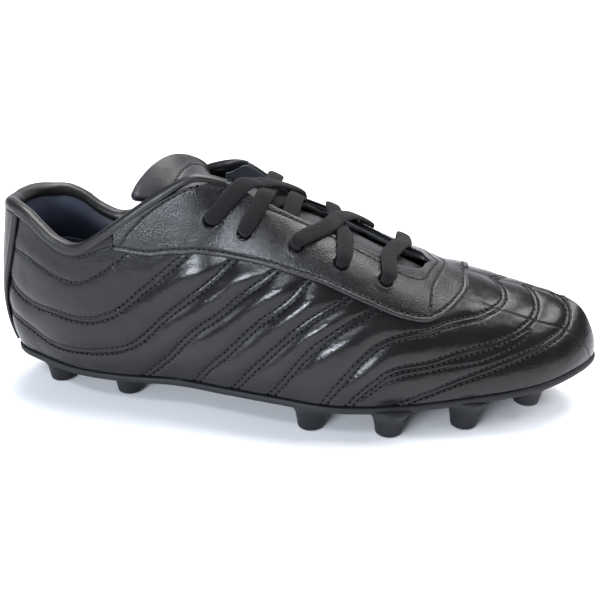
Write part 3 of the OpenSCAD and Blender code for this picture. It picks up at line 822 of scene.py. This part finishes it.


# A near-black disc over a needle hole: painted shade in the hole.
def add_hole(p, n, radius):
    sides = 8
    across = unit(np.cross(n, np.array([0.3, 0.2, 1.0])))
    base = len(stitch_points)
    stitch_points.extend(circle(p + 0.05 * n, radius, across, np.cross(n, across), sides))
    stitch_points.append(p + 0.02 * n)
    stitch_faces.extend((base + k, base + (k + 1) % sides, base + sides) for k in range(sides))
    stitch_kind.extend([1] * sides)


def gather_stitches(name):
    """One piece out of every stitch laid since the last call."""
    piece = make_piece(name, stitch_points, stitch_faces, [THREAD, HOLE_SHADE], material_index=stitch_kind)
    for store in (stitch_points, stitch_faces, stitch_kind):
        store.clear()
    return piece


# ---------------------------------------------------------------- upper leather

# Seams as (t, s) points on either half: double rows between the ribs and over the toe, single rows, and
# the seam of the toe piece.
DOUBLE_SEAMS = [
    [(0.07, 0.5), (0.13, 0.43), (0.18, 0.42), (0.24, 0.45), (0.33, 0.47), (0.39, 0.57), (0.45, 0.66)],
    [(0.06, 0.27), (0.14, 0.22), (0.2, 0.17), (0.26, 0.18), (0.35, 0.23), (0.41, 0.38), (0.47, 0.5),
     (0.53, 0.67)],
    [(0.37, 0), (0.41, 0.14), (0.45, 0.28), (0.51, 0.43), (0.57, 0.58), (0.6, 0.68)],
    [(0.45, 0), (0.48, 0.13), (0.55, 0.35), (0.61, 0.52), (0.64, 0.68)],
    [(0.51, 0), (0.55, 0.16), (0.62, 0.39), (0.67, 0.58), (0.69, 0.69)],
    [(0.57, 0), (0.63, 0.26), (0.68, 0.46), (0.73, 0.67)],
    [(0.66, 0), (0.69, 0.18), (0.73, 0.41), (0.77, 0.5), (0.82, 0.52), (0.87, 0.58), (0.9, 0.71),
     (0.91, 0.86), (0.91, 1)],
    [(0.7, 0), (0.73, 0.15), (0.76, 0.27), (0.82, 0.32), (0.88, 0.41), (0.92, 0.57), (0.94, 0.76),
     (0.95, 1)],
    [(0.77, 0), (0.81, 0.09), (0.86, 0.21), (0.92, 0.36), (0.95, 0.46), (0.97, 0.61), (0.98, 0.8),
     (0.985, 1)]]
SINGLE_SEAMS = [
    [(0.12, 0.71), (0.22, 0.72), (0.29, 0.74), (0.33, 0.76), (0.375, 0.8)],
    [(0.72, 0.05), (0.76, 0.21), (0.81, 0.26), (0.86, 0.285), (0.9, 0.41), (0.915, 0.53)],
    [(0.05, 0.935), (0.12, 0.93), (0.2, 0.93), (0.26, 0.93), (0.31, 0.915), (0.345, 0.885)]]
TOE_SEAM = [
    (0.855, 0.72), (0.88, 0.67), (0.92, 0.55), (0.95, 0.45), (0.965, 0.3), (0.975, 0.1), (0.98, 0)]
# In mm: half the distance between the rows of a double seam, how far from the rows a rib reaches its
# full height, that height and how much more it is in the middle of the boot, and how deep the double
# rows, the single rows and the toe piece's seam are.
ROW_APART = 1.15
PUFF_REACH = 6.0
RIB_HEIGHT, RIB_EXTRA = 0.75, 1.35
ROW_DEPTH, SINGLE_DEPTH, TOE_DEPTH = 0.34, 0.3, 0.35


def all_lines(controls):
    """Every seam on both halves: its side, its points and their normals."""
    return [(side,) + seam(c, side) for side in SIDES for c in controls]


def just_lines(rows):
    return [line for _, line, _ in rows]


def hump(x, width):
    """A smooth bump of height 1 at 0."""
    return np.exp(-(x / width) ** 2)


def rounded(distance, reach):
    """1 on an edge, easing to 0 at the reach from it."""
    return np.clip(1 - distance / reach, 0, 1) ** 2


def stitch_waves(run):
    """Waves along a seam, one to each stitch."""
    return 0.5 + 0.5 * np.cos(2 * np.pi * run / PITCH)


def soften(field, passes):
    """Evens a grid of values out with their neighbours."""
    for _ in range(passes):
        p = np.pad(field, 1, mode="edge")
        field = (p[1:-1, 1:-1] * 2 + p[:-2, 1:-1] + p[2:, 1:-1] + p[1:-1, :-2] + p[1:-1, 2:]) / 6
    return field


def grid_normals(points, side):
    """Outward directions of a grid of points, from its own neighbours."""
    run = np.gradient(points, axis=0)
    rise = np.gradient(points, axis=1)
    return unit(-side * np.cross(run, rise))


def upper_relief(t, s, points, doubles, singles, toe_seams):
    """How far the quilted leather stands off the smooth surface, in mm, and its two marks."""
    dist, run = nearest(just_lines(doubles), points)
    single, single_run = nearest(just_lines(singles), points)
    closed, _ = nearest(just_lines(toe_seams), points)
    middle = step_up(0.33, 0.47, t) * (1 - step_up(0.7, 0.82, t)) * step_up(0.02, 0.2, s)
    full = RIB_HEIGHT + RIB_EXTRA * middle - 0.3 * step_up(0.82, 0.9, t)
    x = np.clip((dist - ROW_APART) / PUFF_REACH, 0, 1)
    y = np.clip(single / 5.0, 0, 1)
    puff = full * x * (2 - x) * (0.55 + 0.45 * y * (2 - y))
    puff = soften(puff, 8) - 0.5
    past_edge = s - np.minimum(overlay_low(t), 0.93)
    fade = step_up(0.0, 0.07, s) * (1 - step_up(-0.11, 0.02, past_edge) * (t < BRIDGE_END))
    puff = puff * fade
    rows = hump(dist - ROW_APART, 0.5)
    lone = hump(single, 0.55)
    butt = hump(closed, 0.35)
    pucker = np.exp(-np.clip(np.abs(dist - ROW_APART) - 0.3, 0, 9) / 1.1) * stitch_waves(run)
    groove = -ROW_DEPTH * rows - SINGLE_DEPTH * lone - TOE_DEPTH * butt - 0.1 * pucker
    groove = groove - 0.08 * np.exp(-single / 1.2) * stitch_waves(single_run)
    swell = 0.12 * hump(dist, 0.55)
    broad = 0.25 * bumpy(points, 22) + 0.1 * bumpy(points, 7, 3.1)
    stretched = np.stack([run / 5.0, dist / 14.0, 0 * dist], -1)
    creases = 0.08 * bumpy(stretched, 1.0, 7.7) * np.exp(-dist / 4.0)
    relief = puff + groove + swell + (broad + creases) * fade
    # The crease mark is painted shade in the seam grooves; the crest mark is a painted highlight on the
    # rib tops.
    crease = np.clip(rows + lone + butt, 0, 1)
    crest = np.clip(puff / 1.1, 0, 1) ** 2
    return relief, crease, crest


def build_upper():
    """The two quilted halves, which share their points along the heel, the toe and the ridge."""
    doubles, singles = all_lines(DOUBLE_SEAMS), all_lines(SINGLE_SEAMS)
    toe_seams = all_lines([TOE_SEAM])
    spacing, rows = ((0.72, 146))
    t = even_steps(0, 1, LATERAL, spacing)
    tt, ss = between(t, level(0.012), panel_high, rows)
    halves = {}
    for side in SIDES:
        points = face(tt, ss, side)
        relief, crease, crest = upper_relief(tt, ss, points, doubles, singles, toe_seams)
        halves[side] = [points, grid_normals(points, side), relief, {"crease": crease, "crest": crest}]
    for shared in ((0, slice(None)), (-1, slice(None)), (t > BRIDGE_END, -1)):
        n = unit(halves[LATERAL][1][shared] + halves[MEDIAL][1][shared])
        r = (halves[LATERAL][2][shared] + halves[MEDIAL][2][shared]) / 2
        for half in halves.values():
            half[1][shared] = n
            half[2][shared] = r
    for side, label in SIDES.items():
        points, normals, relief, marks = halves[side]
        outer = points + relief[..., None] * normals
        flat_points = outer.reshape(-1, 3)
        faces = sheet_faces(outer, side)
        piece = make_piece("upper_" + label, flat_points, faces, [UPPER], marks=marks)
        finish_piece(piece, "upper_leather", "side_panel_" + label, "quilt_foam_" + label)
        surface = BVHTree.FromPolygons(flat_points.tolist(), faces.tolist())
        for line, normal in (row[1:] for row in doubles if row[0] == side):
            for offset in (-ROW_APART, ROW_APART):
                add_stitches(shifted(line, normal, offset), normal, surface)
        for line, normal in (row[1:] for row in singles if row[0] == side):
            add_stitches(line, normal, surface)


build_upper()


# ---------------------------------------------------------------- lacing overlay

THROAT_ROW = [
    (0.5, 0.955), (0.54, 0.945), (0.6, 0.965), (0.65, 0.965), (0.7, 0.935), (0.76, 0.9), (0.79, 0.89),
    (0.82, 0.91), (0.838, 0.96), (0.843, 1)]
CROSS_ROW = [(0.797, 0.64), (0.8, 0.7), (0.808, 0.78), (0.83, 0.84), (0.845, 0.92), (0.852, 1)]
TAIL_ROW = [(0.362, 0.86), (0.375, 0.9), (0.4, 0.93), (0.43, 0.94), (0.47, 0.95), (0.5, 0.955)]
OVERLAY_FROM = 0.352
OVERLAY_LIFT = LEATHER_T + 0.1
# In mm: how far inside the lower edge its row runs, the radius of the overlay's thread, and how near to
# an eyelet's axis and to its rim a point must be to be moved onto the rim.
EDGE_ROW_IN = 2.5
BOLD = 0.44
NEAR_AXIS, NEAR_RIM = 12, 0.34


def edge_line(side):
    """The overlay's lower edge, from its tail to the ridge line."""
    t = np.concatenate([np.linspace(OVERLAY_FROM, 0.84, 300), np.linspace(0.84, BRIDGE_END, 120)])
    return surface_line(np.append(t, BRIDGE_END + 0.0005), np.append(overlay_low(t), 1.0), side)


def overlay_rows():
    """The overlay's stitch rows on both halves: those drawn above, and one along the lower edge."""
    rows = all_lines([THROAT_ROW, CROSS_ROW, TAIL_ROW])
    for side in SIDES:
        line, normal = edge_line(side)
        rows.append((side, shifted(line, normal, -side * EDGE_ROW_IN), normal))
    return rows


def round_holes(points, side):
    """Moves points near an eyelet's rim onto it. Gives cells to keep and distances to the axes."""
    radius = EYELET_D / 2
    inside = np.zeros(points.shape[:-1], bool)
    reach = np.full(points.shape[:-1], 99.0)
    for t, s in EYELETS[side]:
        centre, axis = skin(t, s, side), outward(t, s, side)
        away = points - centre
        away = away - (away @ axis)[..., None] * axis
        dist = np.linalg.norm(away, axis=-1)
        near = np.linalg.norm(points - centre, axis=-1) < NEAR_AXIS
        rim = near & (np.abs(dist - radius) < NEAR_RIM)
        points[rim] += (away * ((radius - dist) / np.maximum(dist, 1e-6))[..., None])[rim]
        dist = np.where(rim, radius, dist)
        inside |= near & (dist < radius - 1e-3)
        reach = np.minimum(reach, np.where(near, dist, 99))
    return ~np.any(corners_of(inside), axis=0).ravel(), reach


def overlay_depth(base, top, reach, edge, dist, run):
    """How far the overlay stands off the boot, from the distances to its edges, holes and rows."""
    d = OVERLAY_LIFT - 0.75 * rounded(edge, 1.2) - 0.5 * rounded(top, 0.8) + 0.2 * hump(edge - 1.2, 0.7)
    d -= 0.3 * hump(dist, 0.5) + 0.09 * stitch_waves(run) * np.exp(-dist / 1.0)
    d -= 0.45 * rounded(reach - EYELET_D / 2, 0.8) - 0.25 * hump(reach - 3.6, 1.0)
    return d + 0.3 * bumpy(base, 16, 1.7) * step_up(0, 4, edge) + 0.1 * bumpy(base, 5, 5.5)


def overlay_high(t):
    """The overlay's upper edge: under the collar roll, at the throat's edge, then the ridge line."""
    high = RIM_EDGE + (0.998 - RIM_EDGE) * step_up(0.462, 0.5, t)
    return np.where(t < THROAT_END, high, 1.0)


def build_overlay():
    """One sheet over both halves, joined along the ridge in front of the throat."""
    t = np.concatenate([even_steps(OVERLAY_FROM, THROAT_END, LATERAL, 0.55, 0.8),
                        even_steps(THROAT_END, BRIDGE_END, LATERAL, 0.45, 0.8)[1:]])
    ridge = int((t <= THROAT_END + 1e-9).sum()) - 1
    tt, ss = between(t, overlay_low, overlay_high, 76)
    stitches = overlay_rows()
    edges = [edge_line(side)[0] for side in SIDES]
    outers, cells, creases, crests, surfaces = [], [], [], [], {}
    for side in SIDES:
        base = face(tt, ss, side)
        normals = outward(tt, ss, side)
        keep, reach = round_holes(base, side)
        edge, _ = nearest(edges, base)
        dist, run = nearest(just_lines(stitches), base)
        top = np.where(tt < THROAT_END, (overlay_high(tt) - ss) * 90, 9)
        d = overlay_depth(base, top, reach, edge, dist, run)
        index = np.arange(tt.size).reshape(tt.shape)
        if side == LATERAL:
            far = outward(t[ridge:], np.ones(len(t) - ridge), MEDIAL)
            ridge_n = unit(normals[ridge:, -1] + far)
            ridge_d = d[ridge:, -1]
            ridge_index = index[ridge:, -1].copy()
        else:
            index += tt.size
            index[ridge:, -1] = ridge_index
        normals[ridge:, -1] = ridge_n
        d[ridge:, -1] = ridge_d
        outer = base + d[..., None] * normals
        faces = grid_faces(index)[keep]
        cells.append(faces[:, ::-1] if side == MEDIAL else faces)
        outers.append(outer.reshape(-1, 3))
        # Painted shade along the stitch rows, and a painted highlight on the bead by the lower edge.
        creases.append(hump(dist, 0.6).ravel())
        crests.append(0.4 * hump(edge - 1.0, 0.6).ravel())
        surfaces[side] = BVHTree.FromPolygons(outers[-1].tolist(), sheet_faces(outer).tolist())
    faces = np.concatenate(cells)
    used, faces = np.unique(faces, return_inverse=True)
    marks = {"crease": np.concatenate(creases)[used], "crest": np.concatenate(crests)[used]}
    piece = make_piece("lacing_overlay", np.concatenate(outers)[used], faces.reshape(-1, 4), [OVERLAY],
                       marks=marks)
    thicken(piece, 1.15)
    finish_piece(piece, "upper_leather", "eyestay_lateral", "eyestay_medial", "throat_bridge")
    for side, line, normal in stitches:
        add_stitches(line, normal, surfaces[side], BOLD)


build_overlay()


# ---------------------------------------------------------------- facings and linings

def layer(name, side, grid, depth, thickness, material, slot, node, wave, holes=False):
    """A plain layer of one half, its outer face depth mm off the boot's surface."""
    tt, ss = grid
    base = face(tt, ss, side)
    normals = outward(tt, ss, side)
    keep = round_holes(base, side)[0] if holes else slice(None)
    outer = base + (depth + wave * bumpy(base, 9, 2.2))[..., None] * normals
    piece = make_piece(name, outer.reshape(-1, 3), sheet_faces(outer, side)[keep], [material])
    thicken(piece, thickness)
    finish_piece(piece, slot, node)


def facing_high(t):
    return 0.93 + 0.055 * step_up(0.47, 0.51, t)


def vamp_high(t):
    return np.where(t < 0.5, 0.6, np.minimum(panel_high(t) - 0.02, 0.9))


def build_layers():
    """Suede behind the eyelets, and the cloth lining of the forefoot."""
    facing_t = even_steps(COLLAR_END - 0.012, 0.815, LATERAL, 0.9, 0.8)
    facing = between(facing_t, lambda t: overlay_low(t) + 0.06, facing_high, 40)
    vamp = between(even_steps(0.42, 0.975, LATERAL, 2.0), level(0.035), vamp_high, 40)
    for side, label in SIDES.items():
        layer("facing_" + label, side, facing, 0.0, 1.15, SUEDE, "facing_suede",
              "facing_backer_" + label, wave=0.1, holes=True)
    for side, label in SIDES.items():
        layer("vamp_lining_cloth_" + label, side, vamp, -3.8, 0.8, VAMP, "vamp_lining",
              "vamp_lining_" + label, wave=0.15)


build_layers()


def wrapped(t_end, low, high, rows, depth):
    """A grid of points from the medial half round the heel to the lateral half.

    depth gives how far the points stand off the surface, in mm, from t, the share of the way up and the
    points on the surface."""
    t = even_steps(0, t_end, LATERAL, 1.2, 0.8)
    share = np.linspace(0, 1, rows + 1)[None]
    parts = []
    for side, ts in ((MEDIAL, t[::-1]), (LATERAL, t[1:])):
        tt, ss = between(ts, low, high, rows)
        base = face(tt, ss, side)
        parts.append(base + depth(tt, share, base)[..., None] * outward(tt, ss, side))
    return np.concatenate(parts)


def heel_layer(name, grid, *nodes):
    piece = make_piece(name, grid.reshape(-1, 3), sheet_faces(grid), [COLLAR])
    thicken(piece, 0.8)
    return finish_piece(piece, "collar_lining", *nodes)


def collar_high(t):
    return 0.945 - 0.5 * np.maximum(0, t - 0.4)


def collar_depth(t, share, base):
    """The padding swells into the boot, less so towards the throat."""
    full = np.where(t < 0.4, 1.0, 1.0 - 0.5 * step_up(0.4, 0.44, t))
    return -2.5 - 3.2 * np.sin(np.pi * share) ** 0.8 * full + 0.2 * bumpy(base, 14, 4.4)


def heel_depth(t, share, base):
    """Nearly even."""
    return -3.8 + 0.12 * bumpy(base, 12, 8.8)


def build_collar():
    """Padded collar lining, and the smooth lining of the heel below it."""
    grid = wrapped(COLLAR_END, level(0.62), collar_high, 44, collar_depth)
    padding = heel_layer("collar_padding", grid, "collar_lining", "collar_foam")
    heel_layer("heel_lining_smooth", wrapped(0.415, level(0.035), level(0.625), 40, heel_depth),
               "heel_lining")


build_collar()


# ---------------------------------------------------------------- collar roll and heel strap

ROLL_END = 0.505
# The back strap's half width as (s, t) points.
STRAP_REACH = np.array([(0, 0.06), (0.3, 0.07), (0.45, 0.085), (0.65, 0.105), (0.93, 0.13)])


def build_binding():
    """The rolled leather band along the collar's rim: one closed section swept round the heel."""
    t = even_steps(0, ROLL_END, LATERAL, 1.0, 1.0)
    section = [
        (1.25, -4.6), (1.45, -3.4), (1.6, -1.8), (1.2, -0.4), (0.1, 0.7), (-1.8, 1.2), (-3.6, 0.8),
        (-4.9, -0.5), (-5.4, -2.2), (-5.2, -4.2), (-4.4, -5.2), (-2.4, -4.2), (0.0, -4.4)]
    rows = []
    for side, ts in ((MEDIAL, t[::-1]), (LATERAL, t[1:])):
        top = face(ts, np.ones_like(ts), side)
        out = outward(ts, np.full_like(ts, 0.97), side)
        up = unit(top - face(ts, np.full_like(ts, 0.96), side))
        slim = 1.0 - 0.45 * step_up(0.4, 0.47, ts) - 0.35 * step_up(0.47, ROLL_END, ts)
        for p, o, u, k in zip(top, out, up, slim):
            rows.append([p + o * a * (k if a < 0 else 1) + u * b * (k if b < 0 else 1)
                         for a, b in section])
    ring = np.array(rows)
    wrinkles = 0.12 * bumpy(ring, 6, 9.1) + 0.15 * bumpy(ring, 15, 2.9)
    ring += wrinkles[..., None] * unit(ring - ring.mean(1, keepdims=True))
    piece = make_piece("collar_roll", ring.reshape(-1, 3), closed_tube_faces(*ring.shape[:2]), [TRIM])
    soft = piece.modifiers.new("soft", "SUBSURF")
    soft.levels = soft.render_levels = 2
    finish_piece(piece, "trim_leather", "collar_binding")


def build_strap():
    """The back strap with its folded edges."""
    f = np.linspace(-1, 1, 91)
    s = np.linspace(0.02, 0.94, 100)
    tt = np.abs(f)[:, None] * look_up(STRAP_REACH, s)[None]
    ss = np.repeat(s[None], len(f), 0)
    from_edge = (1 - np.abs(f))[:, None] * 20
    d = 1.3 - 0.8 * rounded(from_edge, 1.4) + 0.35 * hump(from_edge - 1.5, 0.9)
    d = np.repeat(d, len(s), 1)
    grid = np.where((f < 0)[:, None, None], skin(tt, ss, MEDIAL, d), skin(tt, ss, LATERAL, d))
    grid += 0.12 * bumpy(grid, 10, 6.6)[..., None] * np.array([-1.0, 0, 0])
    # Painted shade along the fold behind each edge bead.
    fold = np.repeat(0.5 * hump(from_edge - 3.2, 0.5), len(s), 1)
    piece = make_piece("heel_strap", grid.reshape(-1, 3), sheet_faces(grid), [TRIM],
                       marks={"crease": fold, "crest": 0 * fold})
    thicken(piece, 0.9)
    finish_piece(piece, "trim_leather", "heel_stay")


def build_strap_edges():
    """The cord-like rolls along both edges of the strap."""
    for side, label in SIDES.items():
        s = np.linspace(0.03, 0.93, 90)
        t = look_up(STRAP_REACH, s)
        line = skin(t, s, side, 0.75)
        widths = np.cross(outward(t, s, side), np.gradient(line, axis=0))
        verts, faces, marks = sweep(line, widths, np.tile([2.0, 1.5], (len(line), 1)), 12, 1.0)
        roll = make_piece("heel_strap_edge_" + label, verts, faces, [EDGE], marks=marks)
        finish_piece(roll, "trim_leather")


build_binding()
build_strap()
build_strap_edges()


# ---------------------------------------------------------------- tongue

# In mm: the tongue's half width, how far its sides fall below its middle line, its length, that line as
# (x, z) from the toe end to the flap's end, and then the width along it as shares of the half width.
TONGUE_HALF, TONGUE_CROWN, TONGUE_LENGTH = 17.0, 8.0, 135
TONGUE_LINE = [
    (70, 60.5), (62, 65), (50, 70.5), (38, 76), (24, 82.5), (9, 88.5), (-5, 94.5), (-18, 99.5),
    (-28, 102), (-37, 103.5), (-43.5, 106.8), (-48.3, 110.6), (-52.3, 113.8), (-56, 116)]
TONGUE_WIDTH = [1, 1.15, 1.18, 1.18, 1.16, 1.08, 1, 0.98, 1.02, 1.06, 1.08, 1.16, 1.23, 1.25]
FLAP_SKEW, FLAP_SHIFT, FLAP_DROOP = 0.6, -4.0, 2.0
# Shares of the tongue's length: where the flap, its stitch row and its rounded end start.
FLAP_FROM = 9.4 / 13
FLAP_ROW = 0.84
FLAP_ROUND = 0.955


def tongue_grid(shrink=0.0, last=1.0):
    """The tongue's top face with its flap: points, the direction out of it, and both grid values."""
    f = np.linspace(0, last, 170)
    v = np.linspace(-1, 1, 61)
    line = along(TONGUE_LINE, f)
    width = along(TONGUE_WIDTH, f) * TONGUE_HALF - shrink
    end = np.clip((f - FLAP_ROUND) / (1 - FLAP_ROUND), 0, 1)
    width = width * (1 - 0.22 * (1 - np.sqrt(1 - 0.98 * end ** 2)))
    d = unit(np.gradient(line, axis=0))
    n = np.stack([d[:, 1], 0 * d[:, 0], -d[:, 0]], 1)
    n = np.where(n[:, 2:3] > 0, n, -n)
    lean = np.clip((f - FLAP_FROM) / (1 - FLAP_FROM), 0, 1)
    y = width[:, None] * v[None]
    crown = TONGUE_CROWN * (y / (TONGUE_HALF * 1.1)) ** 2
    crown = crown + FLAP_DROOP * lean[:, None] * np.clip(-v, 0, 1)[None] ** 2
    points = np.stack([line[:, 0:1] + y * FLAP_SKEW * lean[:, None], y + FLAP_SHIFT * lean[:, None],
                       line[:, 1:2] - crown], -1)
    return points, n, f, v


def bend_with_flap(piece):
    """Bakes the piece's placement into its points."""
    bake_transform(piece)


def slab(top, bottom):
    """Points and faces of a closed slab between two grids of points."""
    up = np.arange(top.shape[0] * top.shape[1]).reshape(top.shape[:2])
    down = up + up.size
    faces = [list(q) for q in grid_faces(up)] + [list(q[::-1]) for q in grid_faces(down)]
    rim = np.concatenate([up[0, :], up[1:, -1], up[-1, -2::-1], up[-2:0:-1, 0]])
    faces += [[a, b, b + up.size, a + up.size] for a, b in zip(rim, np.roll(rim, -1))]
    return np.concatenate([top.reshape(-1, 3), bottom.reshape(-1, 3)]), faces


def tongue_layer(name, low, high, material, nodes, shrink=0.0, last=1.0):
    """One layer from low to high mm under the top face. The cover's rim is rolled down to the back."""
    points, n, f, v = tongue_grid(shrink, last)
    out = n[:, None]
    from_rim = np.minimum((1 - np.abs(v))[None] * TONGUE_HALF, ((1 - f) * TONGUE_LENGTH)[:, None])
    roll = rounded(from_rim, 2.2)
    puff = 0.22 * bumpy(points, 13, 3.3) + 0.08 * bumpy(points, 5, 1.2)
    if name == "tongue_cover":
        row = 0.47 * hump((f - FLAP_ROW) * TONGUE_LENGTH, 0.6)[:, None]
        top = points + (-low - 1.2 * roll + puff - row)[..., None] * out
        bottom = points + (-high - 2.4 * roll)[..., None] * out
    else:
        top = points + (-low - 0.2 * roll)[..., None] * out
        bottom = points + (-high + 0.3 * roll + 0.5 * puff)[..., None] * out
    both, faces = slab(top, bottom)
    piece = make_piece(name, both, faces, [material])
    turn_outward(piece)
    bend_with_flap(piece)
    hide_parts(*nodes)
    if name == "tongue_cover":
        at = int(round(FLAP_ROW * (len(f) - 1)))
        surface = BVHTree.FromPolygons(both.tolist(), faces)
        add_stitches(top[at, 2:-2], np.repeat(n[at][None], len(v) - 4, 0), surface)
        bend_with_flap(gather_stitches("tongue_stitching"))


def build_tongue():
    tongue_layer("tongue_cover", 0.0, 1.3, TONGUE,
                 ["tongue_leather", "tongue_flap_leather"])
    tongue_layer("tongue_padding", 1.35, 3.7, PADDING, ["tongue_foam", "tongue_flap_foam"],
                 shrink=2.4, last=0.981)
    tongue_layer("tongue_back", 3.75, 4.6, COLLAR,
                 ["tongue_lining", "tongue_flap_lining"])


finish_piece(gather_stitches("stitching"), "trim_leather")
build_tongue()


# ---------------------------------------------------------------- sole

RIM_H, RIM_OUT = 3.6, 0.9
STUD_TIP, STUD_ROOT = 6.0, 11.0
TOE_STUD_Z = 6.5
STUDS = [(-116, -9, 0), (-78.5, -16, 0), (-114, 12, 0), (-79, 16, 0), (13.5, -34.5, 0), (49, -34.5, 0),
         (83, -22, 0), (14, 24, 0), (50, 33, 0), (85, 31, 0), (112, -7, TOE_STUD_Z),
         (112, 19, TOE_STUD_Z)]


def ring_mesh(rings):
    """A closed form round the foot from rings of (inset, height, share of the way to the middle)."""
    t = even_steps(0, 1, LATERAL, 1.4, 0.0)
    loops = []
    centre = (seat_at(t, LATERAL)[0] + seat_at(t, MEDIAL)[0]) / 2
    for inset, dz, share in rings:
        sides = []
        for side in SIDES:
            base, out = seat_at(t, side)
            p = base - inset * out
            sides.append(p + (centre - p) * share + dz * UP)
        loops.append(np.concatenate([sides[0], sides[1][-2:0:-1]]))
    grid = np.array(loops)
    return grid.reshape(-1, 3), tube_faces(*grid.shape[:2])


ACROSS_X, ACROSS_Y = np.array([1, 0, 0]), np.array([0, 1, 0])


def stud_mesh(centre):
    """A stud that flares from its rounded tip to its root in the plate, as (radius, height) rings."""
    x, y, z = centre
    h = float(height_at(np.array(x))) - RIM_H + 0.9 - z
    profile = [(STUD_TIP - 1.6, 0), (STUD_TIP - 0.7, 0.12), (STUD_TIP - 0.15, 0.55), (STUD_TIP, 1.2),
               (STUD_TIP + 0.5, h * 0.3), (STUD_TIP + 1.1, h * 0.5), (STUD_TIP + 2.0, h * 0.64),
               (STUD_TIP + 3.4, h * 0.78), (STUD_ROOT - 0.4, h * 0.88), (STUD_ROOT + 0.5, h * 0.94),
               (STUD_ROOT + 0.5, h)]
    sides = 56
    points = []
    for radius, rise in profile:
        points += circle(np.array([x, y, z + rise]), radius, ACROSS_X, ACROSS_Y, sides)
    faces = tube_faces(len(profile), sides)[:, ::-1].tolist()
    low, high = len(points), len(points) + 1
    points += [(x, y, z), (x, y, z + h)]
    last = (len(profile) - 1) * sides
    faces += [(low, (k + 1) % sides, k) for k in range(sides)]
    faces += [(high, last + k, last + (k + 1) % sides) for k in range(sides)]
    return points, faces


def build_plate():
    """Moulded plate: a rounded rim, a nearly flat underside and the studs, joined one by one."""
    rings = [(24, -0.1, 1.0), (24, -0.1, 0.6), (12, -0.1, 0.25), (4, -0.1, 0), (0.6, -0.05, 0),
             (-0.35, -0.15, 0), (-0.75, -0.4, 0), (-RIM_OUT, -0.9, 0), (-RIM_OUT - 0.05, -1.7, 0),
             (-RIM_OUT, -2.5, 0), (-RIM_OUT + 0.35, -3.1, 0), (-RIM_OUT + 1.1, -RIM_H + 0.1, 0),
             (1.5, -RIM_H - 0.05, 0), (3.2, -RIM_H - 0.1, 0), (4.4, -RIM_H + 0.45, 0),
             (6, -RIM_H + 0.5, 0.02), (12, -RIM_H - 0.3, 0.15), (18, -RIM_H - 0.6, 0.5),
             (24, -RIM_H - 0.7, 1.0)]
    plate = make_piece("stud_plate", *ring_mesh(rings), [PLATE])
    turn_outward(plate, weld=0.02)
    studs = [make_piece("stud", *stud_mesh(centre), [PLATE]) for centre in STUDS]
    for stud in studs:
        join = plate.modifiers.new("join", "BOOLEAN")
        join.operation, join.solver, join.object = "UNION", "EXACT", stud
    bpy.context.view_layer.update()
    graph = bpy.context.evaluated_depsgraph_get()
    merged = bpy.data.meshes.new_from_object(plate.evaluated_get(graph))
    plate.modifiers.clear()
    plate.data = merged
    for stud in studs:
        bpy.data.objects.remove(stud)
    for poly in merged.polygons:
        poly.use_smooth = True
    finish_piece(plate, "plate", "outsole")


def build_footbed():
    """The sockliner: a soft slab with rounded edges, a little higher along its border."""
    rings = [(20, 2.3, 1.0), (20, 2.3, 0.6), (9, 2.3, 0.1), (6.7, 2.4, 0), (6.4, 2.9, 0), (6.4, 4.0, 0),
             (6.7, 4.7, 0), (7.6, 5.0, 0), (10, 4.9, 0.05), (14, 4.7, 0.3), (20, 4.6, 0.7),
             (20, 4.6, 1.0)]
    piece = make_piece("footbed_soft", *ring_mesh(rings), [FOOTBED])
    turn_outward(piece)
    finish_piece(piece, "footbed", "sockliner")


build_plate()
build_footbed()

for node, material in (("heel_counter", STIFFENER), ("toe_puff", STIFFENER), ("insole_board", BOARD)):
    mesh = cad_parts[node].data
    mesh.materials.clear()
    mesh.materials.append(material)
